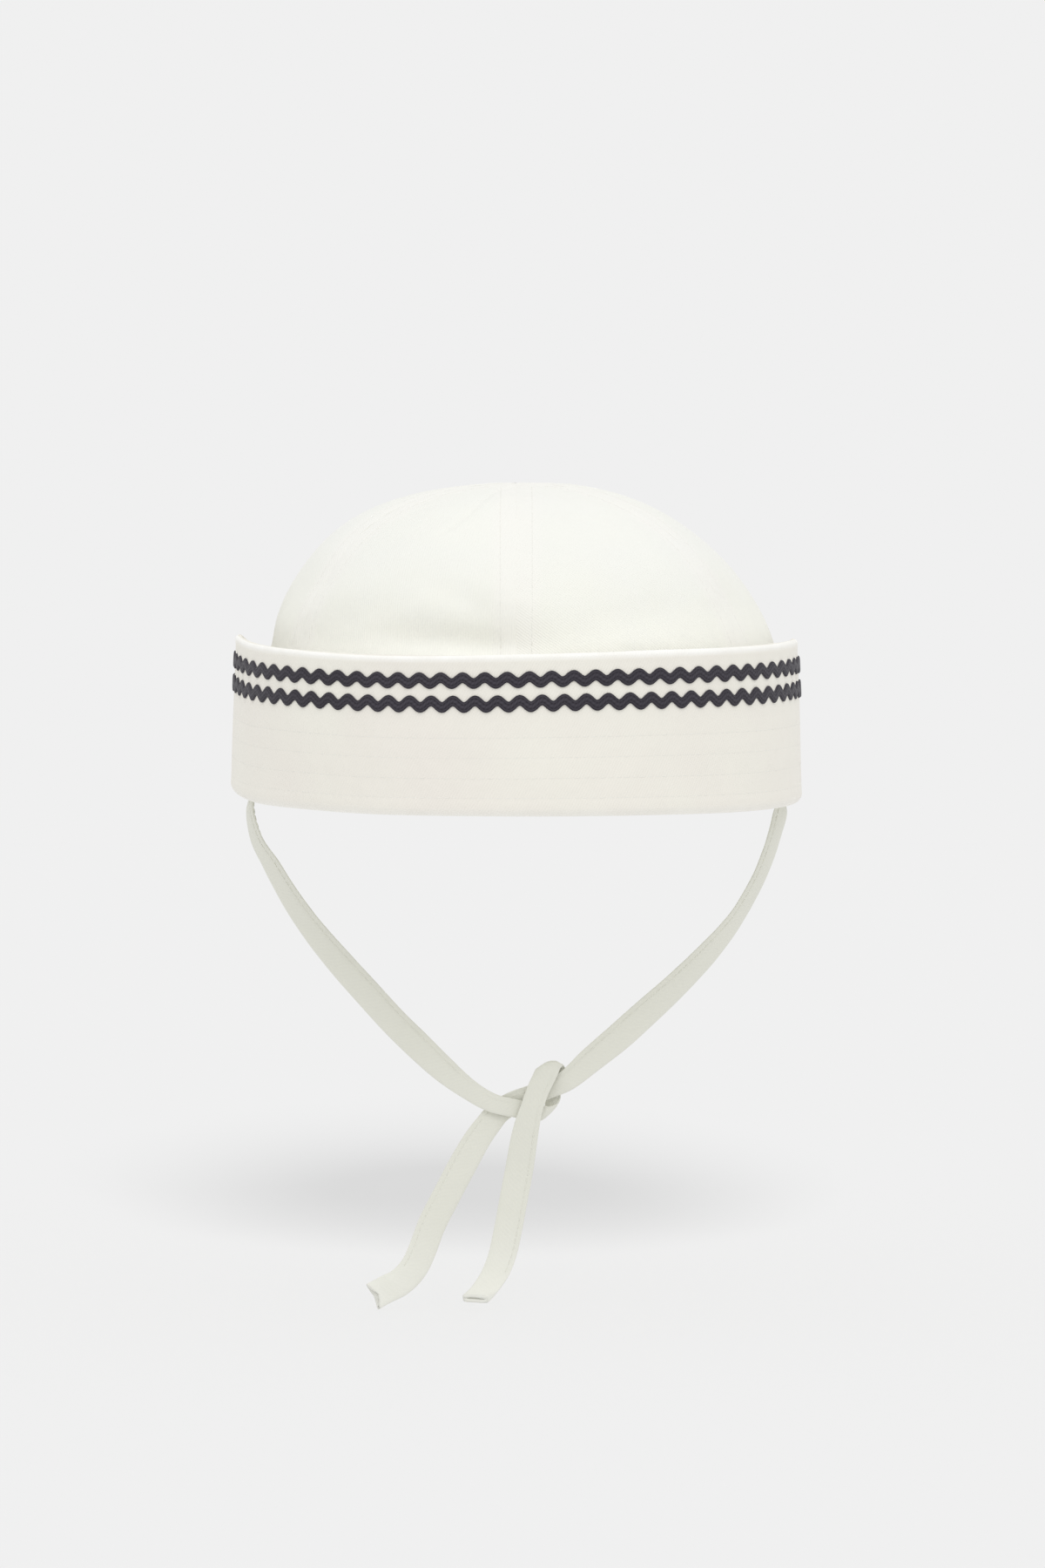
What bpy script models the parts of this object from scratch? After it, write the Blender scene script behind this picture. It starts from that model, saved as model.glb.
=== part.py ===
"""A small child's sailor cap: a domed crown of six sewn panels, a band of cloth turned up round it as a brim,
two rows of ric-rack braid on the brim, and two flat chin ties that cross once in a half knot.

Metres, +Z up. The front faces -Y, so a viewer in front of it has +X to the right. The origin is the centre of
the head opening, in the plane of the rim where the brim folds. An azimuth is in degrees round +Z, 0 at the
front and 90 at +X.
"""

import math
from typing import NamedTuple

import bmesh
import bpy
from mathutils import Vector

# Driving sizes

HEAD_WIDTH = 0.154
HEAD_LENGTH = 0.170
CLEARANCE = 0.0003

CROWN_HEIGHT = 0.090
CROWN_WALL = 0.0016
CROWN_SQUARENESS = 2.45
PANEL_COUNT = 6
SEAM_GAP = 0.0005
SEAM_DIP = 0.0006
SEAM_SPREAD = 0.004
APEX_RADIUS = 0.0009

BRIM_HEIGHT = 0.045
BRIM_HEM = 0.008
BRIM_WALL = 0.0018
BRIM_TURN = 0.0013
BRIM_LEAN = 0.0014

RICRACK_WIDTH = 0.003
RICRACK_SWING = 0.00085
RICRACK_WAVE = 0.0064
RICRACK_THICKNESS = 0.0007
UPPER_RICRACK_DROP = 0.0069
RICRACK_SPACING = 0.0066
UPPER_WAVE_SHIFT = 0.5

TIE_WIDTH = 0.008
TIE_THICKNESS = 0.0012
TIE_HEM = 0.006

# How finely the pieces are divided

PANEL_COLUMNS = 10
PANEL_ROWS = 10
BRIM_STEPS = 60
FOLD_STEPS = 4
OUTER_STEPS = 4
STEPS_PER_WAVE = 4
TIE_STEP = 0.0029
MERGE_DISTANCE = 0.000001

# Finishes

CROWN_COLOUR = (0.90, 0.90, 0.85)
BRIM_COLOUR = (0.84, 0.83, 0.78)
BRAID_COLOUR = (0.035, 0.033, 0.060)
TIE_COLOUR = (0.80, 0.80, 0.73)
CLOTH_ROUGHNESS = 0.9
BRAID_ROUGHNESS = 0.85


class Edge(NamedTuple):
    """How far the brim's fold and its top edge rise above the level here, as shares of BRIM_HEIGHT."""

    azimuth: float
    fold: float
    top: float


EDGES = (
    Edge(-90, 0.046, 0.036),
    Edge(-66, 0.012, 0.008),
    Edge(-46, 0.008, -0.008),
    Edge(-30, 0.003, -0.016),
    Edge(-10, 0.006, -0.010),
    Edge(12, 0.004, 0.006),
    Edge(30, -0.002, 0.012),
    Edge(56, -0.018, 0.012),
    Edge(90, -0.026, 0.008),
    Edge(104, -0.022, -0.044),
    Edge(122, -0.012, -0.100),
    Edge(180, 0.006, -0.110),
    Edge(238, 0.018, -0.100),
    Edge(256, 0.030, -0.030),
)


class Dent(NamedTuple):
    """A soft dent of the crown; a depth below zero is a bulge.

    Heights, depths and spread_up are shares of CROWN_HEIGHT, and spread_round is in degrees.
    """

    azimuth: float
    height: float
    depth: float
    spread_round: float
    spread_up: float


DENTS = (
    Dent(-90, 0.50, 0.014, 38, 0.16),
    Dent(90, 0.52, -0.014, 38, 0.24),
    Dent(-10, 0.56, 0.012, 22, 0.15),
    Dent(-48, 0.82, 0.008, 16, 0.10),
    Dent(168, 0.62, 0.012, 26, 0.18),
)


class Ribbon(NamedTuple):
    """A place on a tie: the ribbon's middle, in metres, and which way its width points there.

    width_share is how much of the full width is left where the knot squeezes it. The first place on a tie is
    its end sewn inside the rim.
    """

    x: float
    y: float
    z: float
    across_x: float
    across_y: float
    across_z: float
    width_share: float


LEFT_TIE = (
    Ribbon(-0.0757, 0.0000, TIE_HEM, 0.00, -1.00, 0.00, 1.00),
    Ribbon(-0.0758, 0.0000, 0.0010, 0.00, -1.00, 0.00, 1.00),
    Ribbon(-0.0763, 0.0000, -0.0045, 0.24, -0.97, 0.00, 1.00),
    Ribbon(-0.0743, -0.0010, -0.0125, 0.42, -0.90, 0.13, 1.00),
    Ribbon(-0.0707, -0.0030, -0.0185, 0.54, -0.80, 0.27, 1.00),
    Ribbon(-0.0669, -0.0050, -0.0250, 0.61, -0.72, 0.33, 1.00),
    Ribbon(-0.0626, -0.0080, -0.0315, 0.64, -0.62, 0.45, 1.00),
    Ribbon(-0.0575, -0.0110, -0.0382, 0.69, -0.50, 0.52, 1.00),
    Ribbon(-0.0497, -0.0150, -0.0471, 0.72, -0.25, 0.65, 1.00),
    Ribbon(-0.0425, -0.0180, -0.0548, 0.72, -0.10, 0.69, 1.00),
    Ribbon(-0.0352, -0.0210, -0.0625, 0.71, -0.05, 0.71, 1.00),
    Ribbon(-0.0275, -0.0245, -0.0697, 0.67, -0.05, 0.74, 1.00),
    Ribbon(-0.0203, -0.0275, -0.0761, 0.64, -0.10, 0.76, 0.92),
    Ribbon(-0.0133, -0.0312, -0.0812, 0.50, -0.15, 0.84, 0.76),
    Ribbon(-0.0069, -0.0321, -0.0848, 0.36, 0.00, 0.93, 0.68),
    Ribbon(-0.0007, -0.0320, -0.0863, 0.20, 0.00, 0.98, 0.66),
    Ribbon(0.0032, -0.0319, -0.0871, 0.00, 0.00, 1.00, 0.64),
    Ribbon(0.0062, -0.0319, -0.0880, 0.71, 0.00, 0.71, 0.80),
    Ribbon(0.0082, -0.0313, -0.0879, 0.71, 0.00, 0.71, 0.80),
    Ribbon(0.0097, -0.0300, -0.0872, 0.71, 0.00, 0.71, 0.80),
    Ribbon(0.0103, -0.0287, -0.0858, 0.71, 0.00, 0.71, 0.80),
    Ribbon(0.0104, -0.0281, -0.0838, 0.71, 0.00, 0.71, 0.80),
    Ribbon(0.0112, -0.0279, -0.0803, 0.98, 0.00, 0.20, 0.72),
    Ribbon(0.0109, -0.0280, -0.0768, 0.98, 0.00, 0.20, 0.78),
    Ribbon(0.0104, -0.0286, -0.0746, 0.99, 0.00, 0.16, 0.80),
    Ribbon(0.0099, -0.0301, -0.0735, 0.99, 0.00, 0.13, 0.80),
    Ribbon(0.0092, -0.0316, -0.0744, 1.00, 0.00, 0.04, 0.86),
    Ribbon(0.0082, -0.0323, -0.0768, 1.00, 0.00, -0.10, 0.85),
    Ribbon(0.0062, -0.0332, -0.0810, 0.97, 0.00, -0.24, 0.80),
    Ribbon(0.0045, -0.0340, -0.0856, 0.98, 0.00, -0.20, 0.80),
    Ribbon(0.0032, -0.0339, -0.0901, 0.99, 0.00, -0.15, 0.88),
    Ribbon(0.0022, -0.0332, -0.0951, 0.99, 0.00, -0.12, 0.95),
    Ribbon(0.0008, -0.0322, -0.1039, 0.99, 0.00, -0.15, 1.00),
    Ribbon(-0.0007, -0.0320, -0.1119, 0.98, 0.00, -0.20, 1.00),
    Ribbon(-0.0022, -0.0322, -0.1201, 0.98, 0.00, -0.20, 1.00),
    Ribbon(-0.0039, -0.0328, -0.1279, 0.99, 0.00, -0.10, 1.00),
    Ribbon(-0.0059, -0.0342, -0.1330, 0.99, 0.00, -0.12, 1.00),
    Ribbon(-0.0082, -0.0365, -0.1364, 0.98, 0.00, -0.18, 1.00),
    Ribbon(-0.0101, -0.0395, -0.1384, 0.97, 0.00, -0.23, 1.00),
    Ribbon(-0.0116, -0.0425, -0.1394, 0.96, 0.00, -0.26, 1.00),
)
RIGHT_TIE = (
    Ribbon(0.0757, 0.0000, TIE_HEM, 0.00, -1.00, 0.00, 1.00),
    Ribbon(0.0757, 0.0000, 0.0010, 0.00, -1.00, 0.00, 1.00),
    Ribbon(0.0757, 0.0000, -0.0043, -0.47, -0.88, 0.05, 1.00),
    Ribbon(0.0742, -0.0010, -0.0102, -0.46, -0.88, 0.12, 1.00),
    Ribbon(0.0720, -0.0020, -0.0169, -0.45, -0.88, 0.16, 1.00),
    Ribbon(0.0689, -0.0040, -0.0240, -0.45, -0.87, 0.20, 1.00),
    Ribbon(0.0631, -0.0075, -0.0338, -0.49, -0.82, 0.29, 1.00),
    Ribbon(0.0553, -0.0120, -0.0431, -0.61, -0.62, 0.49, 1.00),
    Ribbon(0.0455, -0.0165, -0.0527, -0.66, -0.40, 0.63, 1.00),
    Ribbon(0.0370, -0.0205, -0.0601, -0.67, -0.15, 0.73, 1.00),
    Ribbon(0.0293, -0.0240, -0.0667, -0.66, -0.05, 0.75, 1.00),
    Ribbon(0.0208, -0.0275, -0.0734, -0.61, -0.10, 0.79, 0.92),
    Ribbon(0.0146, -0.0299, -0.0784, -0.47, 0.00, 0.88, 0.78),
    Ribbon(0.0097, -0.0300, -0.0808, -0.36, 0.00, 0.93, 0.72),
    Ribbon(0.0042, -0.0300, -0.0830, -0.38, 0.00, 0.92, 0.76),
    Ribbon(-0.0007, -0.0300, -0.0850, -0.45, 0.00, 0.89, 0.82),
    Ribbon(-0.0049, -0.0301, -0.0875, -0.71, 0.00, 0.71, 0.85),
    Ribbon(-0.0081, -0.0306, -0.0912, -0.83, 0.00, 0.55, 0.90),
    Ribbon(-0.0111, -0.0312, -0.0953, -0.88, 0.00, 0.47, 0.95),
    Ribbon(-0.0148, -0.0319, -0.1017, -0.89, 0.00, 0.45, 1.00),
    Ribbon(-0.0195, -0.0323, -0.1106, -0.89, 0.00, 0.45, 1.00),
    Ribbon(-0.0240, -0.0325, -0.1195, -0.89, 0.00, 0.45, 1.00),
    Ribbon(-0.0269, -0.0328, -0.1272, -0.93, 0.00, 0.36, 1.00),
    Ribbon(-0.0294, -0.0332, -0.1321, -0.83, 0.00, 0.55, 1.00),
    Ribbon(-0.0331, -0.0338, -0.1358, -0.55, 0.00, 0.83, 1.00),
    Ribbon(-0.0373, -0.0344, -0.1379, -0.35, 0.00, 0.94, 1.00),
    Ribbon(-0.0410, -0.0350, -0.1399, -0.39, 0.00, 0.92, 1.00),
)

PANEL_NAMES = (
    "crown_panel_front_right",
    "crown_panel_side_right",
    "crown_panel_back_right",
    "crown_panel_back_left",
    "crown_panel_side_left",
    "crown_panel_front_left",
)

# Places read off smooth curves


def hermite(keys, rows, at):
    """The row at key `at` on a smooth curve through the rows, one per key; the keys rise."""
    last = len(keys) - 1
    i = max(0, min(last - 1, sum(key <= at for key in keys) - 1))
    span = keys[i + 1] - keys[i]
    t = (at - keys[i]) / span

    def slope(k, column):
        low, high = max(0, k - 1), min(last, k + 1)
        return (rows[high][column] - rows[low][column]) / (keys[high] - keys[low])

    return tuple(
        (2 * t**3 - 3 * t**2 + 1) * rows[i][c]
        + (t**3 - 2 * t**2 + t) * span * slope(i, c)
        + (3 * t**2 - 2 * t**3) * rows[i + 1][c]
        + (t**3 - t**2) * span * slope(i + 1, c)
        for c in range(len(rows[i]))
    )


def edge_rise(azimuth):
    """How far the brim's fold and its top edge rise at this azimuth, in metres."""
    first = EDGES[0].azimuth
    turned = (azimuth - first) % 360 + first
    ring = [(edge.azimuth - 360, edge) for edge in EDGES[-2:]]
    ring += [(edge.azimuth, edge) for edge in EDGES]
    ring += [(edge.azimuth + 360, edge) for edge in EDGES[:2]]
    fold, top = hermite([key for key, _ in ring], [(edge.fold, edge.top) for _, edge in ring], turned)
    return fold * BRIM_HEIGHT, top * BRIM_HEIGHT


def lifted(azimuth, height):
    """The height on the brim that lies at `height` where its edges are level."""
    fold, top = edge_rise(azimuth)
    share = height / BRIM_HEIGHT
    return height + fold * (1 - share) + top * share


def beside_head(azimuth, outwards, height):
    """The point this far outwards from the oval of the head opening."""
    turn = math.radians(azimuth)
    wide, long = HEAD_WIDTH / 2, HEAD_LENGTH / 2
    outward = Vector((math.sin(turn) / wide, -math.cos(turn) / long, 0)).normalized()
    return Vector((wide * math.sin(turn), -long * math.cos(turn), height)) + outwards * outward


# The crown


def crown_climb(azimuth, climb):
    """The crown's spread and height at this climb, 0 on the seam to the brim and 1 at the apex."""
    power = CROWN_SQUARENESS / 2
    seam_height = lifted(azimuth, BRIM_HEM) + CLEARANCE
    lowest = math.asin((seam_height / CROWN_HEIGHT) ** power)
    highest = math.acos((APEX_RADIUS / (HEAD_WIDTH / 2)) ** power)
    angle = lowest + (highest - lowest) * climb
    return math.cos(angle) ** (1 / power), CROWN_HEIGHT * math.sin(angle) ** (1 / power)


def dent_depth(azimuth, height):
    """How far the soft dents push the crown in here."""
    depth = 0.0
    for dent in DENTS:
        round_it = ((azimuth - dent.azimuth + 180) % 360 - 180) / dent.spread_round
        up_it = (height / CROWN_HEIGHT - dent.height) / dent.spread_up
        depth += dent.depth * CROWN_HEIGHT * math.exp(-round_it**2 - up_it**2)
    return depth


def panel_point(panel, across, climb):
    """A point on the outside of one crown panel; across runs from 0 to 1 between its two seams."""
    span = 360 / PANEL_COUNT
    first_seam = panel * span
    spread, height = crown_climb(first_seam + span * across, climb)
    radius = spread * (HEAD_WIDTH + HEAD_LENGTH) / 4
    margin = math.degrees(SEAM_GAP / 2 / radius)
    azimuth = first_seam + margin + (span - 2 * margin) * across
    spread, height = crown_climb(azimuth, climb)
    outside = beside_head(azimuth, CROWN_WALL, 0)
    point = Vector((outside.x * spread, outside.y * spread, height))
    from_seam = min(across, 1 - across) * math.radians(span) * radius
    dip = SEAM_DIP * math.exp(-((from_seam / SEAM_SPREAD) ** 2))
    inwards = dip * spread + dent_depth(azimuth, height)
    return point * (1 - inwards / point.length)


# The brim and its braids


def brim_profile():
    """Points down the inner leg, round the fold and up the outer leg: outwards from the head, and height."""
    turn_radius = (BRIM_WALL + BRIM_TURN) / 2
    fold_outwards = BRIM_WALL / 2 + turn_radius
    fold_height = BRIM_WALL / 2 + turn_radius
    points = [(BRIM_WALL / 2, BRIM_HEM)]
    for k in range(FOLD_STEPS + 1):
        angle = math.pi * k / FOLD_STEPS
        outwards = fold_outwards - turn_radius * math.cos(angle)
        points.append((outwards, fold_height - turn_radius * math.sin(angle)))
    for k in range(1, OUTER_STEPS + 1):
        height = fold_height + (BRIM_HEIGHT - fold_height) * k / OUTER_STEPS
        points.append((brim_outside(height) - BRIM_WALL / 2, height))
    return points


def brim_outside(height):
    """How far outwards from the head the brim's outside lies at this height."""
    return 2 * BRIM_WALL + BRIM_TURN - BRIM_LEAN * height / BRIM_HEIGHT


def ricrack_waves():
    """The whole number of waves that go round the brim."""
    mean_radius = (HEAD_WIDTH + HEAD_LENGTH) / 4 + brim_outside(BRIM_HEIGHT)
    return round(math.tau * mean_radius / RICRACK_WAVE)


# Building


def cloth_material(name, colour, roughness):
    """A plain cloth with this colour."""
    material = bpy.data.materials.new(name)
    material.use_nodes = True
    shader = material.node_tree.nodes["Principled BSDF"]
    shader.inputs["Base Color"].default_value = (*colour, 1)
    shader.inputs["Roughness"].default_value = roughness
    shader.inputs["Metallic"].default_value = 0
    material.diffuse_color = (*colour, 1)
    return material


def sheet(name, columns, rows, place, thickness, side, material, closed=False):
    """A grid of cloth laid out by place(u, v), both from 0 to 1, and thickened.

    side is 1 to thicken outwards, -1 inwards and 0 both ways. A closed sheet meets itself where u is 0 and 1.
    """
    bm = bmesh.new()
    bmesh.ops.create_grid(bm, x_segments=columns, y_segments=rows, size=0.5)
    for vert in bm.verts:
        vert.co = place(vert.co.x + 0.5, vert.co.y + 0.5)
    if closed:
        bmesh.ops.remove_doubles(bm, verts=bm.verts, dist=MERGE_DISTANCE)
    mesh = bpy.data.meshes.new(name)
    bm.to_mesh(mesh)
    bm.free()
    mesh.shade_smooth()
    mesh.materials.append(material)
    piece = bpy.data.objects.new(name, mesh)
    bpy.context.scene.collection.objects.link(piece)
    solidify = piece.modifiers.new("Cloth thickness", "SOLIDIFY")
    solidify.thickness = thickness
    solidify.offset = side
    solidify.use_even_offset = True
    return piece


def build_crown(material):
    for panel in range(PANEL_COUNT):
        name = PANEL_NAMES[panel] if PANEL_COUNT == len(PANEL_NAMES) else f"crown_panel_{panel + 1}"
        sheet(
            name,
            PANEL_COLUMNS,
            PANEL_ROWS,
            lambda u, v, panel=panel: panel_point(panel, u, v),
            CROWN_WALL,
            -1,
            material,
        )


def build_brim(material):
    profile = brim_profile()

    def place(u, v):
        outwards, height = profile[round(v * (len(profile) - 1))]
        return beside_head(360 * u, outwards, lifted(360 * u, height))

    sheet("brim", BRIM_STEPS, len(profile) - 1, place, BRIM_WALL, 0, material, closed=True)


def build_ricrack(name, drop, shift, material):
    """One row of waved braid, its middle this far below the brim's top edge, shifted by this share of a wave."""
    waves = ricrack_waves()

    def place(u, v):
        swing = RICRACK_SWING * math.sin(math.tau * (waves * u + shift))
        height = BRIM_HEIGHT - drop + swing + RICRACK_WIDTH * (v - 0.5)
        outwards = brim_outside(height) + CLEARANCE
        return beside_head(360 * u, outwards, lifted(360 * u, height))

    steps = STEPS_PER_WAVE * waves
    sheet(name, steps, 1, place, RICRACK_THICKNESS, 1, material, closed=True)


def build_tie(name, route, material):
    """A flat tie along its route."""
    stations = [0.0]
    for before, after in zip(route, route[1:]):
        step = Vector((after.x - before.x, after.y - before.y, after.z - before.z))
        stations.append(stations[-1] + step.length)

    def place(u, v):
        here = Ribbon(*hermite(stations, route, u * stations[-1]))
        across = Vector((here.across_x, here.across_y, here.across_z)).normalized()
        return Vector((here.x, here.y, here.z)) + across * TIE_WIDTH * here.width_share * (v - 0.5)

    steps = round(stations[-1] / TIE_STEP)
    sheet(name, steps, 1, place, TIE_THICKNESS, 0, material)


def main():
    for leftover in list(bpy.data.objects):
        bpy.data.objects.remove(leftover)
    crown_cloth = cloth_material("crown_twill", CROWN_COLOUR, CLOTH_ROUGHNESS)
    brim_cloth = cloth_material("brim_twill", BRIM_COLOUR, CLOTH_ROUGHNESS)
    braid = cloth_material("navy_braid", BRAID_COLOUR, BRAID_ROUGHNESS)
    tie_cloth = cloth_material("tie_twill", TIE_COLOUR, CLOTH_ROUGHNESS)
    build_crown(crown_cloth)
    build_brim(brim_cloth)
    build_ricrack("ricrack_upper", UPPER_RICRACK_DROP, UPPER_WAVE_SHIFT, braid)
    build_ricrack("ricrack_lower", UPPER_RICRACK_DROP + RICRACK_SPACING, 0, braid)
    build_tie("tie_left", LEFT_TIE, tie_cloth)
    build_tie("tie_right", RIGHT_TIE, tie_cloth)


main()
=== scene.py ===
"""A small child's sailor cap in twill: six crown panels, a turned-up brim, two braids and two chin ties.

Metres, +Z up. The front faces -Y. An azimuth is in degrees round +Z, 0 at the front and 90 at +X. The UV map
"cloth" is laid out in millimetres of flat cloth. The UV map "seam" holds the distance from the nearest seam
or edge, and the distance along it, in millimetres too.
"""

import logging
import math
from bisect import bisect_right
from collections.abc import Callable, Sequence
from dataclasses import dataclass, field, replace
from enum import Enum
from functools import cached_property, lru_cache
from typing import NamedTuple

import bmesh
import bpy
from mathutils import Matrix, Vector, noise


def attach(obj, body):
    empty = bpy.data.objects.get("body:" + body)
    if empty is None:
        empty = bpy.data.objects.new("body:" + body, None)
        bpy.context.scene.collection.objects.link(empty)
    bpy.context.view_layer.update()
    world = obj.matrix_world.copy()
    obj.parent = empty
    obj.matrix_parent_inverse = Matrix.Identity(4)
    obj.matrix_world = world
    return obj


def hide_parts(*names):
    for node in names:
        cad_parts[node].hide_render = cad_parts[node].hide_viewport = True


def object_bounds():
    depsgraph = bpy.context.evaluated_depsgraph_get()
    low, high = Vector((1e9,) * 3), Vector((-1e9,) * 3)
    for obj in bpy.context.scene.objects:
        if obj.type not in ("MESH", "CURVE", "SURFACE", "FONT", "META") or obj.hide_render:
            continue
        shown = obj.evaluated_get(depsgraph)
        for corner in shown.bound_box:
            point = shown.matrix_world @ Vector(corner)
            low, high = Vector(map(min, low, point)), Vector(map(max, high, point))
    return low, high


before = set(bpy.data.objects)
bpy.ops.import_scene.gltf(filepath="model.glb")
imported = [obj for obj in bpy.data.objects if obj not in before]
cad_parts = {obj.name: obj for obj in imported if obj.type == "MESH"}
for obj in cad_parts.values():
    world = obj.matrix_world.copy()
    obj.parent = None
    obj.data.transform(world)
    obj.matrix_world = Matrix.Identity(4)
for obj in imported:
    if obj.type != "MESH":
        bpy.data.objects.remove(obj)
CAD_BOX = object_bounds()

log = logging.getLogger("sailor_cap")

Colour = tuple[float, float, float]

MILLIMETRES = 1000.0
MERGE_DISTANCE = 1e-6
BODY = "root"


# Places read off smooth curves


def hermite(keys: Sequence[float], rows: Sequence[Sequence[float]], at: float) -> tuple[float, ...]:
    """Read a smooth curve through rows of numbers.

    Args:
        keys: Rising keys, one for each row.
        rows: Rows of numbers that the curve passes through.
        at: Key to read at.

    Returns:
        The row there.
    """
    last = len(keys) - 1
    i = max(0, min(last - 1, bisect_right(keys, at) - 1))
    span = keys[i + 1] - keys[i]
    t = (at - keys[i]) / span

    def slope(k: int, column: int) -> float:
        """Give the curve's slope at row k."""
        low, high = max(0, k - 1), min(last, k + 1)
        return (rows[high][column] - rows[low][column]) / (keys[high] - keys[low])

    return tuple(
        (2 * t**3 - 3 * t**2 + 1) * rows[i][c]
        + (t**3 - 2 * t**2 + t) * span * slope(i, c)
        + (3 * t**2 - 2 * t**3) * rows[i + 1][c]
        + (t**3 - t**2) * span * slope(i + 1, c)
        for c in range(len(rows[i]))
    )


def bell(offset: float, spread: float) -> float:
    """Give 1 at no offset, falling off smoothly over the spread."""
    return math.exp(-((offset / spread) ** 2))


def ease(share: float) -> float:
    """Give a smooth step from 0 to 1 as the share goes from 0 to 1."""
    share = max(0.0, min(1.0, share))
    return share * share * (3 - 2 * share)


def soft_noise(point: Vector, size: float, seed: float = 0.0) -> float:
    """Give smooth noise from about -1 to 1 with lumps of this size; the seed picks another pattern."""
    return noise.noise(point / size + Vector((seed, 2.3 * seed, -1.7 * seed)))


def flat_oval(turn: float, edge_power: float, face_power: float) -> tuple[float, float]:
    """Give a place round the section of a flat strip.

    Args:
        turn: Place round it, 0 to 1.
        edge_power: Squareness of its two edges: 1 is round, and less is squarer.
        face_power: Flatness of its two faces: 1 is round, and less is flatter.

    Returns:
        The place across the strip and the place through it, each from -1 to 1.
    """
    across, through = math.cos(math.tau * turn), math.sin(math.tau * turn)
    return (
        math.copysign(abs(across) ** edge_power, across),
        math.copysign(abs(through) ** face_power, through),
    )


def add_to_scene(name: str, data: bpy.types.ID) -> bpy.types.Object:
    """Make an object and add it to the scene.

    Args:
        name: Name of the object.
        data: Its mesh, lamp or camera.

    Returns:
        The new object.
    """
    made = bpy.data.objects.new(name, data)
    bpy.context.scene.collection.objects.link(made)
    return made


class ArcTable:
    """Lengths along a curve, to be read both ways."""

    def __init__(self, point_at: Callable[[float], Vector], start: float, end: float, steps: int) -> None:
        """Measure a curve.

        Args:
            point_at: Gives the curve's point at a parameter.
            start: Parameter where the curve starts.
            end: Parameter where it ends.
            steps: Number of straight steps to measure it with.
        """
        self.parameters = [start + (end - start) * k / steps for k in range(steps + 1)]
        self.lengths = [0.0]
        before = point_at(start)
        for parameter in self.parameters[1:]:
            here = point_at(parameter)
            self.lengths.append(self.lengths[-1] + (here - before).length)
            before = here
        self.total = self.lengths[-1]

    def length_at(self, parameter: float) -> float:
        """Give the length from the start to this parameter."""
        return self._read(self.parameters, self.lengths, parameter)

    def parameter_at(self, length: float) -> float:
        """Give the parameter at this length from the start."""
        return self._read(self.lengths, self.parameters, length)

    @staticmethod
    def _read(keys: list[float], values: list[float], at: float) -> float:
        """Interpolate the values at a key.

        Args:
            keys: Rising keys.
            values: Values, one for each key.
            at: Key to read at.

        Returns:
            The value there.
        """
        i = max(0, min(len(keys) - 2, bisect_right(keys, at) - 1))
        span = keys[i + 1] - keys[i]
        share = (at - keys[i]) / span if span else 0.0
        return values[i] + (values[i + 1] - values[i]) * share


# Making pieces


class PieceKit:
    """Makes mesh objects with bmesh operators and joins them to the frame."""

    @staticmethod
    def laid_grid(
        columns: int,
        rows: int,
        place: Callable[[float, float], Vector],
        cloth: Callable[[float, float], tuple[float, float]],
        seam: Callable[[float, float], tuple[float, float]],
        closed: bool = False,
    ) -> bmesh.types.BMesh:
        """Lay a grid of cloth out over a shape.

        Args:
            columns: Number of faces along u.
            rows: Number of faces along v.
            place: Gives the point at (u, v), both from 0 to 1.
            cloth: Gives the place on the flat cloth at (u, v), in metres.
            seam: Gives the distances from and along the nearest seam at (u, v), in metres.
            closed: Whether the grid meets itself, so that its edges are merged.

        Returns:
            The new bmesh.
        """
        bm = bmesh.new()
        bmesh.ops.create_grid(bm, x_segments=columns, y_segments=rows, size=0.5)
        cloth_map = bm.loops.layers.uv.new("cloth")
        seam_map = bm.loops.layers.uv.new("seam")
        shares = {vert: (vert.co.x + 0.5, vert.co.y + 0.5) for vert in bm.verts}
        flat = {vert: Vector(cloth(*share)) * MILLIMETRES for vert, share in shares.items()}
        beside = {vert: Vector(seam(*share)) * MILLIMETRES for vert, share in shares.items()}
        for face in bm.faces:
            for loop in face.loops:
                loop[cloth_map].uv = flat[loop.vert]
                loop[seam_map].uv = beside[loop.vert]
        for vert, share in shares.items():
            vert.co = place(*share)
        bmesh.ops.remove_doubles(bm, verts=bm.verts, dist=MERGE_DISTANCE)
        if closed:
            bmesh.ops.recalc_face_normals(bm, faces=bm.faces)
        return bm

    @staticmethod
    def piece(
        name: str, bm: bmesh.types.BMesh, material: bpy.types.Material, slot: str, replaces: str = ""
    ) -> bpy.types.Object:
        """Turn a bmesh into a piece that rides on the cap.

        Args:
            name: Name of the piece.
            bm: Its shape, which is freed.
            material: Its finish.
            slot: Material slot of the record that the finish belongs to; it is not used.
            replaces: Node that the piece stands for, if any.

        Returns:
            The new object.
        """
        mesh = bpy.data.meshes.new(name)
        bm.to_mesh(mesh)
        bm.free()
        mesh.shade_smooth()
        mesh.materials.append(material)
        made = add_to_scene(name, mesh)
        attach(made, BODY)
        if replaces:
            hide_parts(replaces)
        log.info("%s: %d faces", name, len(mesh.polygons))
        return made

    @staticmethod
    def thicken_inwards(piece: bpy.types.Object, thickness: float) -> None:
        """Give a sheet its thickness, with crisp cut edges.

        Args:
            piece: The sheet.
            thickness: Its thickness.
        """
        bm = bmesh.new()
        bm.from_mesh(piece.data)
        for edge in bm.edges:
            edge.smooth = not edge.is_boundary
        bm.to_mesh(piece.data)
        bm.free()
        solidify = piece.modifiers.new("Cloth thickness", "SOLIDIFY")
        solidify.thickness = thickness
        solidify.offset = -1
        solidify.use_even_offset = True


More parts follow.
